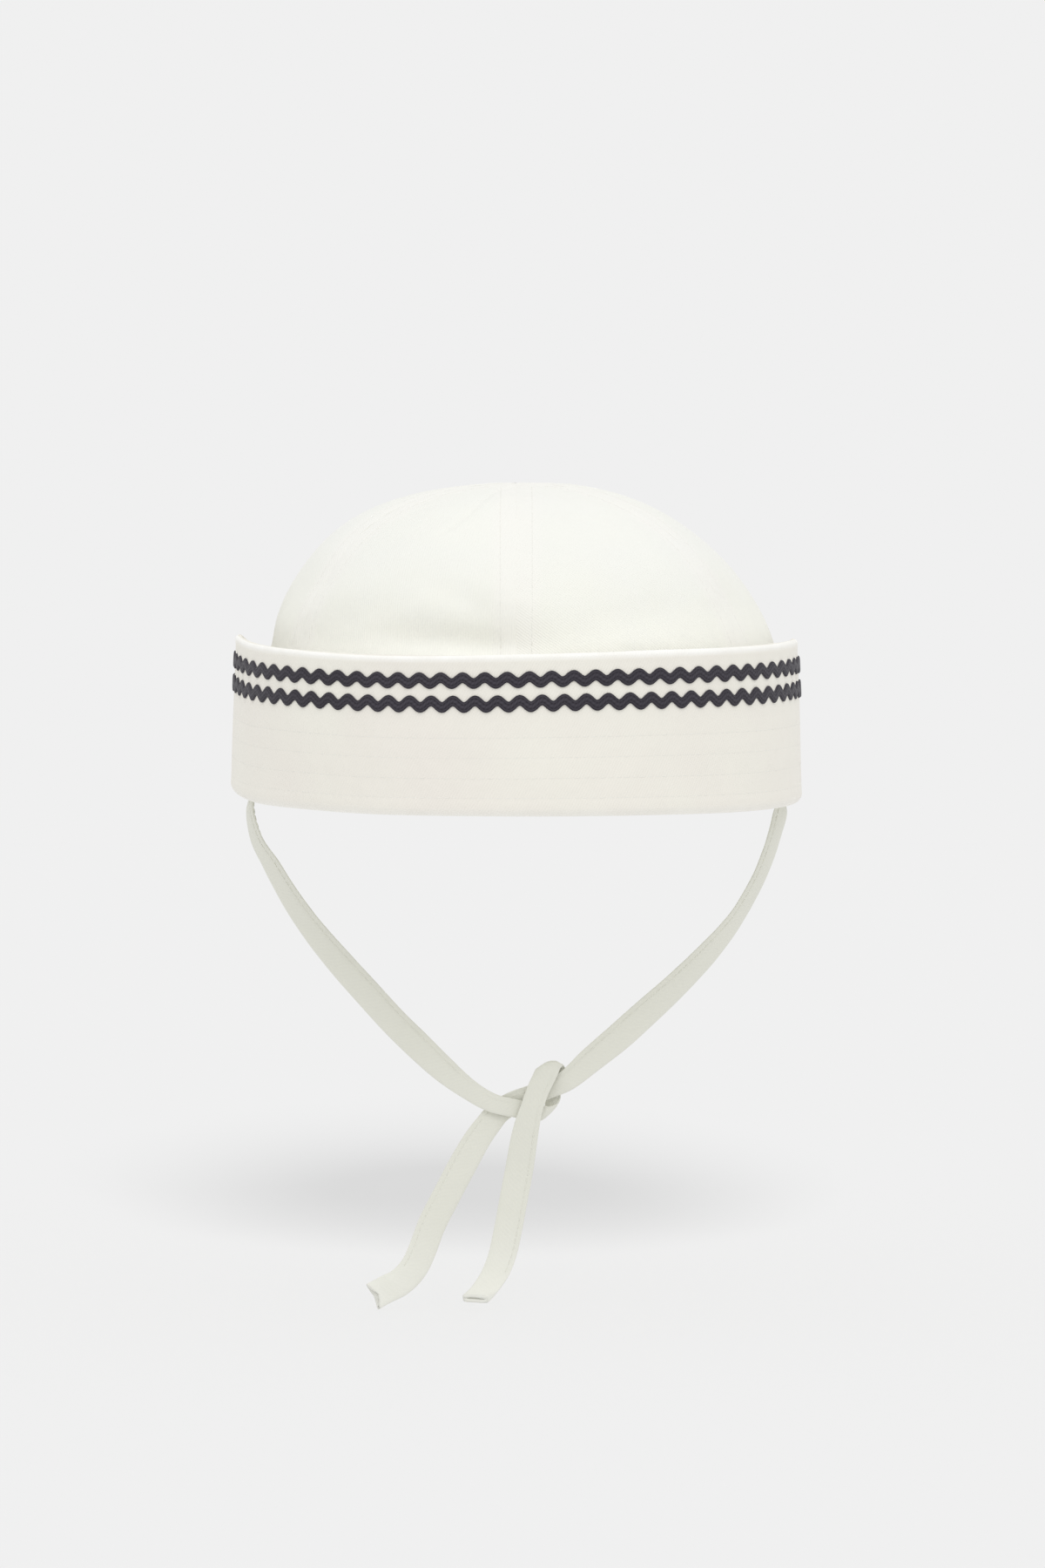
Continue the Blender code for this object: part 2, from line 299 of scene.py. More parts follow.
@dataclass(frozen=True)
class Stitching:
    """A row of stitches in sewing thread.

    pitch is the distance from hole to hole, thread is its thickness, gap_share is the part of the pitch that
    the holes take, rise_share is how far the thread stands out and tug_share how unevenly it pulls.
    """

    pitch: float = 0.0024
    thread: float = 0.00034
    gap_share: float = 0.22
    rise_share: float = 0.10
    tug_share: float = 0.3
    sides: int = 6
    rings: int = 4

    def tug(self, along: float) -> float:
        """Give how strongly the row pulls the cloth in at this distance along it, 1 at a hole."""
        return 1 - self.tug_share + self.tug_share * math.cos(math.tau * along / self.pitch)

    @cached_property
    def pattern(self) -> bpy.types.Mesh:
        """Build the stitch that every one is copied from: one unit round, lying along X.

        Returns:
            Its mesh.
        """
        bm = bmesh.new()
        lie_down = Matrix.Rotation(math.pi / 2, 4, "Y")
        bmesh.ops.create_uvsphere(
            bm, u_segments=self.sides, v_segments=self.rings, radius=1, matrix=lie_down
        )
        mesh = bpy.data.meshes.new("stitch_pattern")
        bm.to_mesh(mesh)
        bm.free()
        return mesh

    def sew(self, bm: bmesh.types.BMesh, start: Vector, end: Vector, outward: Vector) -> None:
        """Add one stitch.

        Args:
            bm: Bmesh that takes the stitch.
            start: Hole where the stitch comes up.
            end: Hole where it goes down.
            outward: Direction out of the cloth.
        """
        along = (end - start).normalized()
        beside = outward.cross(along).normalized()
        upward = along.cross(beside)
        middle = (start + end) / 2 + upward * self.thread * self.rise_share
        length = (end - start).length * (1 - self.gap_share)
        turn = Matrix((along, beside, upward)).transposed().to_4x4()
        size = Matrix.Diagonal((length / 2, self.thread / 2, self.thread / 2, 1))
        stitch = self.pattern.copy()
        stitch.transform(Matrix.Translation(middle) @ turn @ size)
        bm.from_mesh(stitch)
        bpy.data.meshes.remove(stitch)


# The cap's form, with the same sizes as its solids


class Edge(NamedTuple):
    """How far the brim's fold and its top edge rise above the level, as shares of the brim's height."""

    azimuth: float
    fold: float
    top: float


class Dent(NamedTuple):
    """A soft dent of the crown; a depth below zero is a bulge.

    Heights, depths and spread_up are shares of the crown's height, spread_round is in degrees, and slant is
    how far the dent's height changes over that spread.
    """

    azimuth: float
    height: float
    depth: float
    spread_round: float
    spread_up: float
    slant: float = 0.0


EDGES = (
    Edge(-90, 0.046, 0.036),
    Edge(-66, 0.012, 0.008),
    Edge(-46, 0.008, -0.008),
    Edge(-30, 0.003, -0.016),
    Edge(-10, 0.006, -0.010),
    Edge(12, 0.004, 0.006),
    Edge(30, -0.002, 0.012),
    Edge(56, -0.018, 0.012),
    Edge(90, -0.026, 0.008),
    Edge(104, -0.022, -0.044),
    Edge(122, -0.012, -0.100),
    Edge(180, 0.006, -0.110),
    Edge(238, 0.018, -0.100),
    Edge(256, 0.030, -0.030),
)
DENTS = (
    Dent(-90, 0.50, 0.014, 38, 0.16),
    Dent(90, 0.52, -0.014, 38, 0.24),
    Dent(-10, 0.56, 0.012, 22, 0.15),
    Dent(-48, 0.82, 0.008, 16, 0.10),
    Dent(168, 0.62, 0.012, 26, 0.18),
)


@dataclass(frozen=True)
class CapForm:
    """The sizes that the crown, the brim and the braids share."""

    head_width: float = 0.154
    head_length: float = 0.170
    clearance: float = 0.0003
    crown_height: float = 0.090
    crown_wall: float = 0.0016
    crown_squareness: float = 2.45
    brim_height: float = 0.045
    brim_hem: float = 0.008
    brim_wall: float = 0.0018
    brim_turn: float = 0.0013
    brim_lean: float = 0.0014
    arc_steps: int = 1440

    @property
    def mean_radius(self) -> float:
        """Give the head opening's mean radius."""
        return (self.head_width + self.head_length) / 4

    @lru_cache(maxsize=None)
    def edge_rise(self, azimuth: float) -> tuple[float, float]:
        """Read how far the brim's edges rise.

        Args:
            azimuth: Azimuth of the place.

        Returns:
            The rise of the fold and that of the top edge, in metres.
        """
        first = EDGES[0].azimuth
        turned = (azimuth - first) % 360 + first
        ring = [(edge.azimuth - 360, edge) for edge in EDGES[-2:]]
        ring += [(edge.azimuth, edge) for edge in EDGES]
        ring += [(edge.azimuth + 360, edge) for edge in EDGES[:2]]
        fold, top = hermite([key for key, _ in ring], [(edge.fold, edge.top) for _, edge in ring], turned)
        return fold * self.brim_height, top * self.brim_height

    def lifted(self, azimuth: float, height: float) -> float:
        """Lift a height on the brim with its edges.

        Args:
            azimuth: Azimuth of the place.
            height: Height on the brim where its edges are level.

        Returns:
            The height at this azimuth.
        """
        fold, top = self.edge_rise(azimuth)
        share = height / self.brim_height
        return height + fold * (1 - share) + top * share

    @lru_cache(maxsize=None)
    def outward(self, azimuth: float) -> Vector:
        """Give the direction out from the head at an azimuth."""
        turn = math.radians(azimuth)
        return Vector((math.sin(turn) / self.head_width, -math.cos(turn) / self.head_length, 0)).normalized()

    def beside_head(self, azimuth: float, outwards: float, height: float) -> Vector:
        """Place a point beside the head.

        Args:
            azimuth: Azimuth of the place.
            outwards: Distance outwards from the oval of the head opening.
            height: Height of the point.

        Returns:
            The point.
        """
        turn = math.radians(azimuth)
        across, forward = self.head_width / 2 * math.sin(turn), self.head_length / 2 * math.cos(turn)
        return Vector((across, -forward, height)) + outwards * self.outward(azimuth)

    def brim_outside(self, height: float) -> float:
        """Give how far outwards from the head the brim's outside lies at this height."""
        return 2 * self.brim_wall + self.brim_turn - self.brim_lean * height / self.brim_height

    @cached_property
    def brim_arc(self) -> ArcTable:
        """Give the lengths round the brim, from the back, at azimuth -180, to the back again."""
        outwards = self.brim_outside(self.brim_height / 2)
        return ArcTable(lambda azimuth: self.beside_head(azimuth, outwards, 0), -180, 180, self.arc_steps)


# Finishes


class ClothLay(Enum):
    """How the twill's ridges run on a piece, in degrees from level on the flat cloth."""

    STEEP = 99.0
    DIAGONAL = 136.0
    BAND = 62.0
    ALONG_TIE = 28.0


class NodeBook:
    """Adds nodes to a tree in a few words."""

    def __init__(self, tree: bpy.types.NodeTree) -> None:
        """Write into this tree, which is emptied first."""
        self.tree = tree
        tree.nodes.clear()

    def add(self, kind: str, **values: object) -> bpy.types.Node:
        """Add a node.

        Args:
            kind: Blender's name of the node type, without ShaderNode.
            values: Properties to set on it.

        Returns:
            The new node.
        """
        node = self.tree.nodes.new("ShaderNode" + kind if not kind.startswith("NodeGroup") else kind)
        for key, value in values.items():
            setattr(node, key, value)
        return node

    def feed(self, node: bpy.types.Node, **sources: object) -> bpy.types.Node:
        """Link sockets, or set numbers, on a node's inputs.

        Args:
            node: The node to feed.
            sources: Input names, with _ for a space, and the socket, number or colour each takes.

        Returns:
            The same node.
        """
        for key, source in sources.items():
            target = node.inputs[key.replace("_", " ")]
            if isinstance(source, bpy.types.NodeSocket):
                self.tree.links.new(source, target)
            else:
                target.default_value = source
        return node

    def math(self, operation: str, *values: object, clamp: bool = False) -> bpy.types.NodeSocket:
        """Work out one step of arithmetic.

        Args:
            operation: Blender's name of the operation.
            values: Sockets and numbers that it works on.
            clamp: Whether to keep what comes out from 0 to 1.

        Returns:
            Its output.
        """
        node = self.add("Math", operation=operation, use_clamp=clamp)
        for slot, value in zip(node.inputs, values):
            if isinstance(value, bpy.types.NodeSocket):
                self.tree.links.new(value, slot)
            else:
                slot.default_value = value
        return node.outputs[0]

    def scaled(self, value: bpy.types.NodeSocket, gain: float, offset: float) -> bpy.types.NodeSocket:
        """Multiply by the gain, add the offset and keep what comes out from 0 to 1."""
        return self.math("MULTIPLY_ADD", value, gain, offset, clamp=True)

    def mix(self, factor: object, first: object, second: object) -> bpy.types.NodeSocket:
        """Mix two colours.

        Args:
            factor: Share of the second colour.
            first: The first colour.
            second: The second colour.

        Returns:
            The mixed colour.
        """
        node = self.add("Mix", data_type="RGBA", clamp_factor=True)
        for slot, value in ((node.inputs[0], factor), (node.inputs[6], first), (node.inputs[7], second)):
            if isinstance(value, bpy.types.NodeSocket):
                self.tree.links.new(value, slot)
            else:
                slot.default_value = (*value, 1) if isinstance(value, tuple) else value
        return node.outputs[2]

    def noise(self, vector: bpy.types.NodeSocket, scale: float, detail: float = 2.0) -> bpy.types.NodeSocket:
        """Give smooth noise from 0 to 1 over a vector."""
        node = self.feed(self.add("TexNoise"), Vector=vector, Scale=scale, Detail=detail)
        return node.outputs[0]

    def group(self, tree: bpy.types.NodeTree, **sources: object) -> bpy.types.Node:
        """Place a node group and feed its inputs."""
        node = self.add("Group", node_tree=tree)
        return self.feed(node, **sources)

    def bump(
        self, height: bpy.types.NodeSocket, distance: float, normal: bpy.types.NodeSocket | None = None
    ) -> bpy.types.NodeSocket:
        """Raise the surface by a height map.

        Args:
            height: The map, from 0 to 1.
            distance: How far 1 stands above 0, in metres.
            normal: Normal to build on, if not the surface's own.

        Returns:
            The new normal.
        """
        node = self.feed(self.add("Bump"), Height=height, Distance=distance, Strength=1.0)
        if normal:
            self.tree.links.new(normal, node.inputs["Normal"])
        return node.outputs[0]


class GroupKit:
    """The shader node groups that the finishes share.

    A scale says how fine a noise is. A share says how much of a height it makes up.
    """

    wander_scale = 0.16
    wander_turns = 0.9
    slub_scale = 2.2
    ridge_share = 0.34
    yarn_share = 0.10
    slub_share = 0.35
    rumple_scale = 62.0
    fuzz_scale = 2600.0
    tone_scale = 24.0
    strip_patch_scale = 120.0
    groove_reach = 2.2
    chevron_lean = 1.1
    ply_length = 1.3
    strand_share = 0.32
    ply_share = 0.18

    @staticmethod
    def _start(
        name: str, inputs: Sequence[str], outputs: Sequence[str]
    ) -> tuple[NodeBook, dict[str, bpy.types.NodeSocket], bpy.types.Node]:
        """Start a node group, whose sockets take numbers, apart from the one called Vector.

        Args:
            name: Name of the group.
            inputs: Input names.
            outputs: Output names.

        Returns:
            The book to write it with, its input sockets by name and the node that takes what it gives out.
        """
        tree = bpy.data.node_groups.new(name, "ShaderNodeTree")
        book = NodeBook(tree)
        for side, keys in (("INPUT", inputs), ("OUTPUT", outputs)):
            for key in keys:
                kind = "NodeSocketVector" if key == "Vector" else "NodeSocketFloat"
                tree.interface.new_socket(name=key, in_out=side, socket_type=kind)
        source = book.add("NodeGroupInput")
        return book, dict(source.outputs.items()), book.add("NodeGroupOutput")

    @cached_property
    def twill(self) -> bpy.types.NodeTree:
        """Build the group of the twill weave: slanting ridges crossed by single yarns, slightly uneven.

        Returns:
            The node group.
        """
        book, given, target = self._start("Twill weave", ("Vector", "Lay", "Pitch"), ("Height", "Valley"))
        place = book.feed(book.add("SeparateXYZ"), Vector=given["Vector"])
        x, y = place.outputs[0], place.outputs[1]
        radians = book.math("RADIANS", given["Lay"])
        cosine, sine = book.math("COSINE", radians), book.math("SINE", radians)
        across = book.math("SUBTRACT", book.math("MULTIPLY", y, cosine), book.math("MULTIPLY", x, sine))
        along = book.math("ADD", book.math("MULTIPLY", x, cosine), book.math("MULTIPLY", y, sine))
        wander = book.math("MULTIPLY", book.noise(given["Vector"], self.wander_scale), self.wander_turns)
        ridge_count = book.math("ADD", book.math("DIVIDE", across, given["Pitch"]), wander)
        ridge = book.math("SINE", book.math("MULTIPLY", ridge_count, math.tau))
        yarn_count = book.math("ADD", book.math("DIVIDE", along, given["Pitch"]), ridge_count)
        yarn = book.math("SINE", book.math("MULTIPLY", yarn_count, math.tau))
        slub = book.math("SUBTRACT", book.noise(given["Vector"], self.slub_scale), 0.5)
        height = book.math("MULTIPLY_ADD", ridge, self.ridge_share, 0.5)
        height = book.math("MULTIPLY_ADD", yarn, self.yarn_share, height)
        height = book.math("MULTIPLY_ADD", slub, self.slub_share, height, clamp=True)
        book.feed(target, Height=height, Valley=book.math("SUBTRACT", 1.0, height))
        return book.tree

    @cached_property
    def handling(self) -> bpy.types.NodeTree:
        """Build the group of soft handling: faint rumples, fuzz and uneven tone all over the cloth.

        Returns:
            The node group.
        """
        book, given, target = self._start("Soft handling", ("Vector",), ("Rumples", "Fuzz", "Tone"))
        book.feed(
            target,
            Rumples=book.noise(given["Vector"], self.rumple_scale, detail=3.0),
            Fuzz=book.noise(given["Vector"], self.fuzz_scale, detail=2.0),
            Tone=book.noise(given["Vector"], self.tone_scale, detail=4.0),
        )
        return book.tree

    @cached_property
    def needle_holes(self) -> bpy.types.NodeTree:
        """Build the group of the needle holes along a row of stitches, with the groove that it pulls in.

        Returns:
            The node group.
        """
        book, given, target = self._start(
            "Needle holes", ("Across", "Along", "Row", "Pitch", "Size"), ("Hole", "Groove")
        )
        aside = book.math("ABSOLUTE", book.math("SUBTRACT", given["Across"], given["Row"]))
        turns = book.math("ADD", book.math("DIVIDE", given["Along"], given["Pitch"]), 0.5)
        phase = book.math("SUBTRACT", book.math("FRACT", turns), 0.5)
        forward = book.math("MULTIPLY", phase, given["Pitch"])
        squares = book.math("ADD", book.math("POWER", aside, 2.0), book.math("POWER", forward, 2.0))
        far = book.math("DIVIDE", book.math("SQRT", squares), given["Size"])
        reach = book.math("MULTIPLY", given["Size"], self.groove_reach)
        hole = book.math("SUBTRACT", 1.0, far, clamp=True)
        groove = book.math("SUBTRACT", 1.0, book.math("DIVIDE", aside, reach), clamp=True)
        book.feed(target, Hole=hole, Groove=groove)
        return book.tree

    @cached_property
    def strip_tint_and_painted_light(self) -> bpy.types.NodeTree:
        """Build the group of a strip's tint by a seam or an edge, for extra layers of cloth and for painted
        light and painted shade: uneven inside it, and 0 past it.

        Returns:
            The node group.
        """
        book, given, target = self._start(
            "Strip tint and painted light", ("Across", "Start", "Reach", "Softness", "Vector"), ("Worn",)
        )
        left = book.math("SUBTRACT", given["Reach"], given["Across"])
        inside = book.scaled(book.math("DIVIDE", left, given["Softness"]), gain=0.5, offset=0.5)
        past = book.math("SUBTRACT", given["Across"], given["Start"])
        begun = book.scaled(book.math("DIVIDE", past, given["Softness"]), gain=0.5, offset=0.5)
        patches = book.noise(given["Vector"], self.strip_patch_scale, detail=3.0)
        patchy = book.scaled(patches, gain=1.2, offset=0.25)
        book.feed(target, Worn=book.math("MULTIPLY", book.math("MULTIPLY", inside, begun), patchy))
        return book.tree

    @cached_property
    def braid(self) -> bpy.types.NodeTree:
        """Build the group of the braid's strands, plaited in chevrons that follow its wave.

        Returns:
            The node group.
        """
        book, given, target = self._start("Braid strands", ("Across", "Along", "Strand"), ("Height",))
        aside = book.math("DIVIDE", given["Across"], given["Strand"])
        strand = book.math("COSINE", book.math("MULTIPLY", aside, math.tau))
        row = book.math("ROUND", aside)
        lean = book.math("MULTIPLY", book.math("SUBTRACT", aside, row), self.chevron_lean)
        parity = book.math("PINGPONG", row, 1.0)
        sign = book.math("MULTIPLY_ADD", parity, 2.0, -1.0)
        ply_step = book.math("MULTIPLY", given["Strand"], self.ply_length)
        ply_count = book.math("DIVIDE", given["Along"], ply_step)
        ply_turns = book.math("MULTIPLY_ADD", lean, sign, ply_count)
        ply = book.math("COSINE", book.math("MULTIPLY", ply_turns, math.tau))
        height = book.math("MULTIPLY_ADD", strand, self.strand_share, 0.5)
        height = book.math("MULTIPLY_ADD", ply, self.ply_share, height, clamp=True)
        book.feed(target, Height=height)
        return book.tree


class StitchRow(NamedTuple):
    """A row of needle holes that the finish shows: its place on the UV map "seam", in millimetres."""

    row: float
    pitch: float = 2.4
    size: float = 0.36


class SeamMeasure(Enum):
    """What the UV map "seam" measures on each of its axes."""

    ACROSS = 0
    ALONG = 1


@dataclass(frozen=True)
class StripTintAndPaintedLight:
    """A tint of a strip of the cloth by a seam, an edge or a length along it. It serves for the tone of a
    seam allowance's extra layers, and for painted light and painted shade.

    The strip runs from start to reach on the UV map "seam", in millimetres, with soft borders. The share says
    how strong the tint is.
    """

    colour: Colour
    reach: float
    start: float = -1.5
    softness: float = 0.5
    share: float = 0.5
    measure: SeamMeasure = SeamMeasure.ACROSS


class Surface(NamedTuple):
    """The sockets that a finish gives its shader."""

    colour: bpy.types.NodeSocket
    roughness: bpy.types.NodeSocket
    normal: bpy.types.NodeSocket


@dataclass(frozen=True)
class Finish:
    """What every finish has: a name, a base colour and the shine of its fibres."""

    name: str
    colour: Colour

    sheen = 0.15
    sheen_roughness = 0.5
    specular = 0.5

    def surface(self, book: NodeBook, groups: GroupKit) -> Surface:
        """Write the surface's nodes; each finish has its own."""
        raise NotImplementedError

    def material(self, groups: GroupKit) -> bpy.types.Material:
        """Build the material.

        Args:
            groups: The shared node groups.

        Returns:
            The new material.
        """
        made = bpy.data.materials.new(self.name)
        made.use_nodes = True
        made.diffuse_color = (*self.colour, 1)
        book = NodeBook(made.node_tree)
        colour, roughness, normal = self.surface(book, groups)
        shader = book.add("BsdfPrincipled")
        book.feed(shader, Base_Color=colour, Roughness=roughness, Normal=normal)
        shader.inputs["Sheen Weight"].default_value = self.sheen
        shader.inputs["Sheen Roughness"].default_value = self.sheen_roughness
        shader.inputs["Specular IOR Level"].default_value = self.specular
        book.feed(book.add("OutputMaterial"), Surface=shader.outputs[0])
        return made


@dataclass(frozen=True)
class TwillFinish(Finish):
    """Cotton twill: a base colour, darker between the ridges and in the needle holes."""

    valley: Colour
    hole: Colour
    lay: ClothLay
    pitch: float = 0.75
    valley_share: float = 0.45
    relief: float = 0.00007
    roughness: float = 0.86
    hole_share: float = 0.55
    groove_share: float = 0.5
    rows: tuple[StitchRow, ...] = ()
    tints_and_painted_light: tuple[StripTintAndPaintedLight, ...] = ()
    second: Colour | None = None
    patch_scale: float = 26.0
    rumple_height: float = 0.0007
    fuzz_height: float = 0.00002

    sheen = 0.22
    sheen_roughness = 0.55
    specular = 0.25

    def surface(self, book: NodeBook, groups: GroupKit) -> Surface:
        """Write the nodes of the twill.

        Args:
            book: Book of the material.
            groups: The shared node groups.

        Returns:
            The sockets for the shader.
        """
        cloth = book.add("UVMap", uv_map="cloth").outputs[0]
        seam = book.feed(book.add("SeparateXYZ"), Vector=book.add("UVMap", uv_map="seam").outputs[0])
        weave = book.group(groups.twill, Vector=cloth, Lay=self.lay.value, Pitch=self.pitch)
        place = book.add("TexCoord").outputs["Object"]
        handled = book.group(groups.handling, Vector=place)

        between = book.math("MULTIPLY", weave.outputs["Valley"], self.valley_share)
        colour = book.mix(between, self.colour, self.valley)
        uneven = book.scaled(handled.outputs["Tone"], gain=0.9, offset=-0.32)
        colour = book.mix(uneven, colour, self.valley)
        if self.second:
            patches = book.scaled(book.noise(place, self.patch_scale), gain=2.6, offset=-0.8)
            colour = book.mix(patches, colour, self.second)
        # Strip tints: the seam allowance's extra layers, and painted light and painted shade on the crown,
        # the brim and the ties.
        for tint_and_light_strip in self.tints_and_painted_light:
            tinted = book.group(
                groups.strip_tint_and_painted_light,
                Across=seam.outputs[tint_and_light_strip.measure.value],
                Start=tint_and_light_strip.start,
                Reach=tint_and_light_strip.reach,
                Softness=tint_and_light_strip.softness,
                Vector=place,
            )
            share = book.math("MULTIPLY", tinted.outputs["Worn"], tint_and_light_strip.share)
            colour = book.mix(share, colour, tint_and_light_strip.colour)
        height = weave.outputs["Height"]
        for row in self.rows:
            pricked = book.group(
                groups.needle_holes,
                Across=seam.outputs[0],
                Along=seam.outputs[1],
                Row=row.row,
                Pitch=row.pitch,
                Size=row.size,
            )
            seen = book.scaled(handled.outputs["Rumples"], gain=1.6, offset=-0.2)
            share = book.math("MULTIPLY", seen, self.hole_share)
            hole = book.math("MULTIPLY", pricked.outputs["Hole"], share)
            colour = book.mix(hole, colour, self.hole)
            groove = book.math("MULTIPLY", pricked.outputs["Groove"], self.groove_share)
            height = book.math("SUBTRACT", height, groove)

        normal = book.bump(handled.outputs["Rumples"], self.rumple_height)
        normal = book.bump(height, self.relief, normal)
        normal = book.bump(handled.outputs["Fuzz"], self.fuzz_height, normal)
        rough = book.math("MULTIPLY_ADD", handled.outputs["Fuzz"], 0.12, self.roughness - 0.06)
        return Surface(colour, rough, normal)


@dataclass(frozen=True)
class BraidFinish(Finish):
    """Plaited ric-rack braid in a dark yarn."""

    ridge: Colour
    strand: float = 0.76
    relief: float = 0.00012
    fuzz_height: float = 0.00003

    sheen = 0.12
    sheen_roughness = 0.4
    specular = 0.3

    def surface(self, book: NodeBook, groups: GroupKit) -> Surface:
        """Write the nodes of the braid.

        Args:
            book: Book of the material.
            groups: The shared node groups.

        Returns:
            The sockets for the shader.
        """
        flat = book.feed(book.add("SeparateXYZ"), Vector=book.add("UVMap", uv_map="cloth").outputs[0])
        plait = book.group(groups.braid, Across=flat.outputs[1], Along=flat.outputs[0], Strand=self.strand)
        handled = book.group(groups.handling, Vector=book.add("TexCoord").outputs["Object"])
        colour = book.mix(plait.outputs["Height"], self.colour, self.ridge)
        uneven = book.scaled(handled.outputs["Tone"], gain=0.8, offset=-0.2)
        colour = book.mix(uneven, colour, self.colour)
        normal = book.bump(plait.outputs["Height"], self.relief)
        normal = book.bump(handled.outputs["Fuzz"], self.fuzz_height, normal)
        rough = book.math("MULTIPLY_ADD", handled.outputs["Fuzz"], 0.15, 0.68)
        return Surface(colour, rough, normal)


@dataclass(frozen=True)
class ThreadFinish(Finish):
    """Twisted sewing thread."""

    shade: Colour
    twist_scale: float = 5200.0
    twist_height: float = 0.00004
    fuzz_height: float = 0.00002

    def surface(self, book: NodeBook, groups: GroupKit) -> Surface:
        """Write the nodes of the thread.

        Args:
            book: Book of the material.
            groups: The shared node groups.

        Returns:
            The sockets for the shader.
        """
        place = book.add("TexCoord").outputs["Object"]
        handled = book.group(groups.handling, Vector=place)
        twist = book.noise(place, self.twist_scale, detail=1.0)
        colour = book.mix(book.scaled(twist, gain=1.6, offset=-0.4), self.shade, self.colour)
        normal = book.bump(twist, self.twist_height)
        normal = book.bump(handled.outputs["Fuzz"], self.fuzz_height, normal)
        rough = book.math("MULTIPLY_ADD", twist, 0.2, 0.55)
        return Surface(colour, rough, normal)


# The crown


class Crease(NamedTuple):
    """A fine crease pressed into the crown: places as (azimuth, share of the crown's height)."""

    places: tuple[tuple[float, float], ...]
    depth: float
    width: float


CREASES = (
    Crease(
        (
            (2, 0.998),
            (-17, 0.984),
            (-17.8, 0.961),
            (-19.2, 0.921),
            (-21.8, 0.885),
            (-26.5, 0.842),
            (-33.2, 0.798),
        ),
        0.00055,
        0.0011,
    ),
    Crease(((-49.2, 0.907), (-39.8, 0.944)), 0.00025, 0.0012),
    Crease(((63.8, 0.941), (61.8, 0.866)), 0.00025, 0.0012),
)
RUMPLES = (
    Dent(-15, 0.548, 0.033, 22, 0.062, -0.012),
    Dent(-5, 0.545, 0.014, 9, 0.055, -0.010),
    Dent(-50, 0.525, 0.011, 18, 0.065, 0.0),
    Dent(-12, 0.66, 0.010, 12, 0.045, -0.050),
    Dent(-38, 0.63, 0.007, 11, 0.050, 0.030),
    Dent(26, 0.50, -0.010, 17, 0.070, 0.0),
    Dent(36, 0.63, 0.006, 12, 0.060, 0.020),
    Dent(-82, 0.86, -0.014, 28, 0.110, 0.0),
    Dent(-64, 0.70, 0.010, 10, 0.060, 0.040),
    Dent(-90, 0.45, 0.012, 26, 0.110, 0.0),
    Dent(-86, 0.50, 0.007, 22, 0.050, 0.0),
    Dent(66, 0.64, 0.009, 12, 0.090, 0.020),
    Dent(140, 0.58, 0.012, 16, 0.060, -0.050),
    Dent(-140, 0.60, 0.010, 14, 0.070, 0.040),
    Dent(176, 0.80, -0.006, 18, 0.080, 0.0),
)


